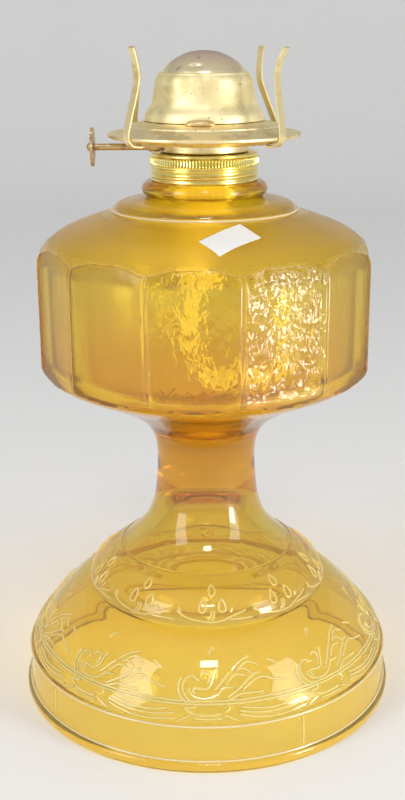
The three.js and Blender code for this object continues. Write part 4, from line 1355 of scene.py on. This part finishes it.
# Chimney prongs
# Four springy brass strips, soldered under the gallery, hooked round its rim and curled out at the tips
# to grip the chimney's foot. Each one is bent a little differently.
prong_width = 0.0033
prong_sheet = 0.0009
prong_corner = 0.00018
prong_foot = (0.0324, 0.2364)
prong_rim = (0.0391, 0.24)
prong_waist_height = 0.26254
prong_tip_height = 0.2725
prong_azimuth = math.radians(48.5)
hook_shares = [(0.32, 0), (0.66, 0.12), (0.9, 0.5)]
lean_shares = [(0.01, 0.1), (0.42, 0.43), (0.78, 0.7), (0.95, 0.87)]
curl_shares = [(0.06, 0.2), (0.26, 0.46), (0.6, 0.74)]
prong_bends = {  # azimuth, and shares of the rim's radius that the waist and the tip stand at
    "front_left": (-prong_azimuth, 0.884, 0.947),
    "front_right": (prong_azimuth, 0.958, 1.068),
    "back_right": (math.pi - prong_azimuth, 0.789, 0.824),
    "back_left": (math.pi + prong_azimuth, 0.966, 1.047),
}


def strip(path, turn, width, thickness, corner):
    # Flat strip with softened edges, along a path of radius and height at an azimuth
    w, t = width / 2, thickness / 2
    outline = [
        (-w, -t + corner), (-w, t - corner), (-w + corner, t), (w - corner, t),
        (w, t - corner), (w, -t + corner), (w - corner, -t), (-w + corner, -t),
    ]
    outward = (math.sin(turn), -math.cos(turn))
    sideways = (math.cos(turn), math.sin(turn))
    sections = []
    for index, (radius, height) in enumerate(path):
        before, after = path[max(index - 1, 0)], path[min(index + 1, len(path) - 1)]
        along_r, along_z = after[0] - before[0], after[1] - before[1]
        length = math.hypot(along_r, along_z)
        normal_r, normal_z = along_z / length, -along_r / length
        section = []
        for across, through in outline:
            r, z = radius + through * normal_r, height + through * normal_z
            section.append((r * outward[0] + across * sideways[0], r * outward[1] + across * sideways[1], z))
        sections.append(section)
    return swept(sections, turned_out=True)


for side, (turn, waist_share, tip_share) in prong_bends.items():
    waist = (waist_share * deck_rim, prong_waist_height)
    tip = (tip_share * deck_rim, prong_tip_height)
    prong_bend = [
        *run(prong_foot, prong_rim, hook_shares),
        *run(prong_rim, waist, lean_shares)[1:],
        *run(waist, tip, curl_shares)[1:],
    ]
    prong_strip = strip(smooth_line(prong_bend, steps=88), turn, prong_width, prong_sheet, prong_corner)
    prong = new_piece(f"sprung_prong_{side}", *prong_strip, golden_brass)
    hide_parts(f"chimney_prong_{side}")
    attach(prong, f"prong_{side}")

# Wick shaft
# Turned brass shaft of the raiser, which passes through the cup's wall and carries the toothed wheels. Its
# outer end is riveted over the thumbwheel. Handling has left it brown and dull.
shaft_radius = 0.0013
shaft_chamfer = 0.0003
rivet_radius = 0.0018
rivet_length = 0.0015
shaft_columns = 40
rivet_shares = [(1, 0), (0.9, 0.5), (0.45, 0.92)]
shaft_low, shaft_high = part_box("wick_shaft")
rivet_seat = shaft_low.x + rivet_length
shaft_corners = [
    (shaft_radius - shaft_chamfer, -shaft_high.x),
    (shaft_radius, -shaft_high.x + shaft_chamfer),
    (shaft_radius, -rivet_seat),
    *[(rivet_radius * across, -rivet_seat + rivet_length * up) for across, up in rivet_shares],
]
brown_brass = old_brass(
    "brown_brass",
    clean=(0.66, 0.5, 0.27), tarnished=(0.42, 0.3, 0.15), speck=(0.18, 0.12, 0.06),
    patch_size=160, patches=0.24, specks=0.1, roughness=(0.4, 0.6),
)
upright_shaft = [(0, -shaft_high.x), *softened(shaft_corners, shaft_chamfer), (0, -shaft_low.x)]
shaft_vertices, shaft_faces = turned(upright_shaft, shaft_columns)
laid_vertices = [(-z, y + shaft_place[0], x + shaft_place[1]) for x, y, z in shaft_vertices]
shaft = new_piece("riveted_shaft", laid_vertices, shaft_faces, brown_brass)
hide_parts("wick_shaft")
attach(shaft, "raiser")

# Thumbwheel
# Fluted brass disc on the shaft's outer end, turned by hand to raise or lower the wick.
# It is brown and dull from handling.
dress("thumbwheel", brown_brass)

# Shaft bush
# Short turned brass bearing for the shaft, soldered in the cup's wall.
# It is brown and dull from handling.
dress("shaft_bush", brown_brass)

# Spur wheels
# Four thin toothed brass wheels, pressed on the shaft. Their teeth reach through the tube's windows and
# feed the wick.
wheel_count = 4
for wheel in range(1, wheel_count + 1):
    dress(f"spur_wheel_{wheel}", brown_brass)

# Wick
# Flat woven cotton tape, ribbed lengthwise. It hangs from the tube, turns edge-on and curls to the right
# on its way to the floor of the font; its top edge is charred.
wick_width = 0.025
wick_thickness = 0.0026
wick_top = 0.2637
wick_straight_end = 0.2085
wick_lowest = 0.136
wick_reach = 0.03708
wick_twist = math.radians(64)
first_twist_shares = (0, 0.22)  # where down the tail each turn starts, and how much of the tail it takes
last_twist_shares = (0.75, 0.25)
wick_ribs = 9
rib_depth = 0.00022
selvage_share = 0.02
selvage_power = 0.25
rib_steps = 36
route_shares = [
    (0, 0), (-0.06, 0.08), (-0.13, 0.26), (-0.16, 0.45), (-0.24, 0.68), (-0.14, 0.86), (0.22, 1),
    (0.42, 0.99), (0.69, 0.93), (1, 0.87),
]
wick_drop = wick_straight_end - wick_lowest
wick_tail = [(across * wick_reach, wick_straight_end - down * wick_drop) for across, down in route_shares]
wick_route = [*run((0, wick_top), (0, wick_straight_end), steps=30), *smooth_line(wick_tail, steps=80)[1:]]
char_stops = [
    (0.13, (0.98, 0.94, 0.76)),
    (0.25, (0.95, 0.9, 0.74)),
    (0.2612, (0.7, 0.58, 0.38)),
    (0.2626, (0.12, 0.08, 0.05)),
    (wick_top, (0.03, 0.025, 0.02)),
]
weave = {"Scale": 2600, "Detail": 2}
weave_strength = 0.5
weave_depth = 0.0003

cotton, cotton_tree, cotton_shader = new_material("woven_cotton", {"Roughness": 0.95})
threads = noise(cotton_tree, place_on_piece(cotton_tree), weave)
threads = bumped(cotton_tree, threads, weave_strength, weave_depth)
fill(cotton_tree, cotton_shader, {"Base Color": by_height(cotton_tree, char_stops), "Normal": threads})

wick_outline = []  # across and through, all the way round
for side in (1, -1):
    for step in range(rib_steps + 1):
        share = step / rib_steps
        edge = math.sin(math.pi * min(max(share, selvage_share), 1 - selvage_share)) ** selvage_power
        rib = rib_depth * (0.5 + 0.5 * math.cos(2 * math.pi * wick_ribs * share))
        wick_outline.append((side * (share - 0.5) * wick_width, side * (wick_thickness / 2 * edge - rib)))
wick_sections = []
for index, (x, z) in enumerate(wick_route):
    before, after = wick_route[max(index - 1, 0)], wick_route[min(index + 1, len(wick_route) - 1)]
    length = math.dist(before, after)
    along_x, along_z = (after[0] - before[0]) / length, (after[1] - before[1]) / length
    down = (wick_straight_end - z) / wick_drop
    first_turn = ramp_step(down, *first_twist_shares) * wick_twist
    last_turn = ramp_step(down, *last_twist_shares) * (math.pi / 2 - wick_twist)
    twist = math.pi / 2 if x > 0 and z < wick_straight_end else first_turn + last_turn
    across = (-along_z * math.cos(twist), -math.sin(twist), along_x * math.cos(twist))
    through = (-along_z * across[1], along_z * across[0] - along_x * across[2], along_x * across[1])
    middle = (x, 0, z)
    wick_sections.append(
        [tuple(m + u * a + v * t for m, a, t in zip(middle, across, through)) for u, v in wick_outline]
    )
wick = new_piece("cotton_wick", *swept(wick_sections), cotton, sheet_crease)
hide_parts("wick")
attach(wick, "wick")

# Floor
# A pale matt sheet that bends up into a round cove all round the lamp and is open above.
# It belongs to the studio, not to the lamp.
cove_radius = 1.5
cove_bend = 0.5
cove_height = 1
cove_columns = 96
cove_steps = 12
cove_line = [(0, 0), (cove_radius, 0)]
for step in range(1, cove_steps + 1):
    angle = math.pi / 2 * step / cove_steps
    cove_line.append((cove_radius + cove_bend * math.sin(angle), cove_bend * (1 - math.cos(angle))))
cove_line.append((cove_radius + cove_bend, cove_height))
cove_vertices, cove_faces = turned(cove_line, cove_columns)
pale_sheet = new_material("pale_sheet", {"Base Color": (0.93, 0.93, 0.925, 1), "Roughness": 0.9})[0]
floor = new_piece("pale_cove", cove_vertices, [tuple(reversed(face)) for face in cove_faces], pale_sheet)

# Lights
# Soft lamps stand at both sides in front, a small one hangs over the camera, and a low one on the right
# makes the glints low down. The sky is pale and a little darker near the horizon.
lamp_aim = (0, 0, 0.15)
soft_lamps = {  # place, width and height, power
    "left_soft_lamp": ((-0.95, -0.75, 0.65), (0.45, 1.1), 7),
    "right_soft_lamp": ((1, -0.65, 0.5), (0.4, 0.95), 4.8),
    "small_top_lamp": ((0.02, -0.75, 1.15), (0.22, 0.14), 1.8),
    "low_strip_lamp": ((0.62, -0.45, 0.12), (0.15, 0.3), 2.1),
}
sky_stops = [(0.1, (0.55, 0.55, 0.56)), (0.9, (1, 1, 1))]
sky_strength = 0.54
for name, (place, size, power) in soft_lamps.items():
    light = bpy.data.lights.new(name, "AREA")
    light.shape = "RECTANGLE"
    light.size, light.size_y = size
    light.energy = power
    lamp = in_scene(name, light)
    lamp.location = place
    lamp.visible_camera = False
    dx, dy, dz = (a - p for a, p in zip(lamp_aim, place))
    lamp.rotation_euler = (math.atan2(math.hypot(dx, dy), -dz), 0, math.atan2(-dx, dy))

world = bpy.data.worlds.new("studio")
bpy.context.scene.world = world
world.use_nodes = True
sky = world.node_tree
direction = put(sky, "ShaderNodeTexCoord", {})["Generated"]
sky_height = put(sky, "ShaderNodeSeparateXYZ", {"Vector": direction})["Z"]
fill(sky, sky.nodes["Background"], {"Color": ramp(sky, sky_height, sky_stops), "Strength": sky_strength})

bpy.context.scene.view_settings.view_transform = "Standard"
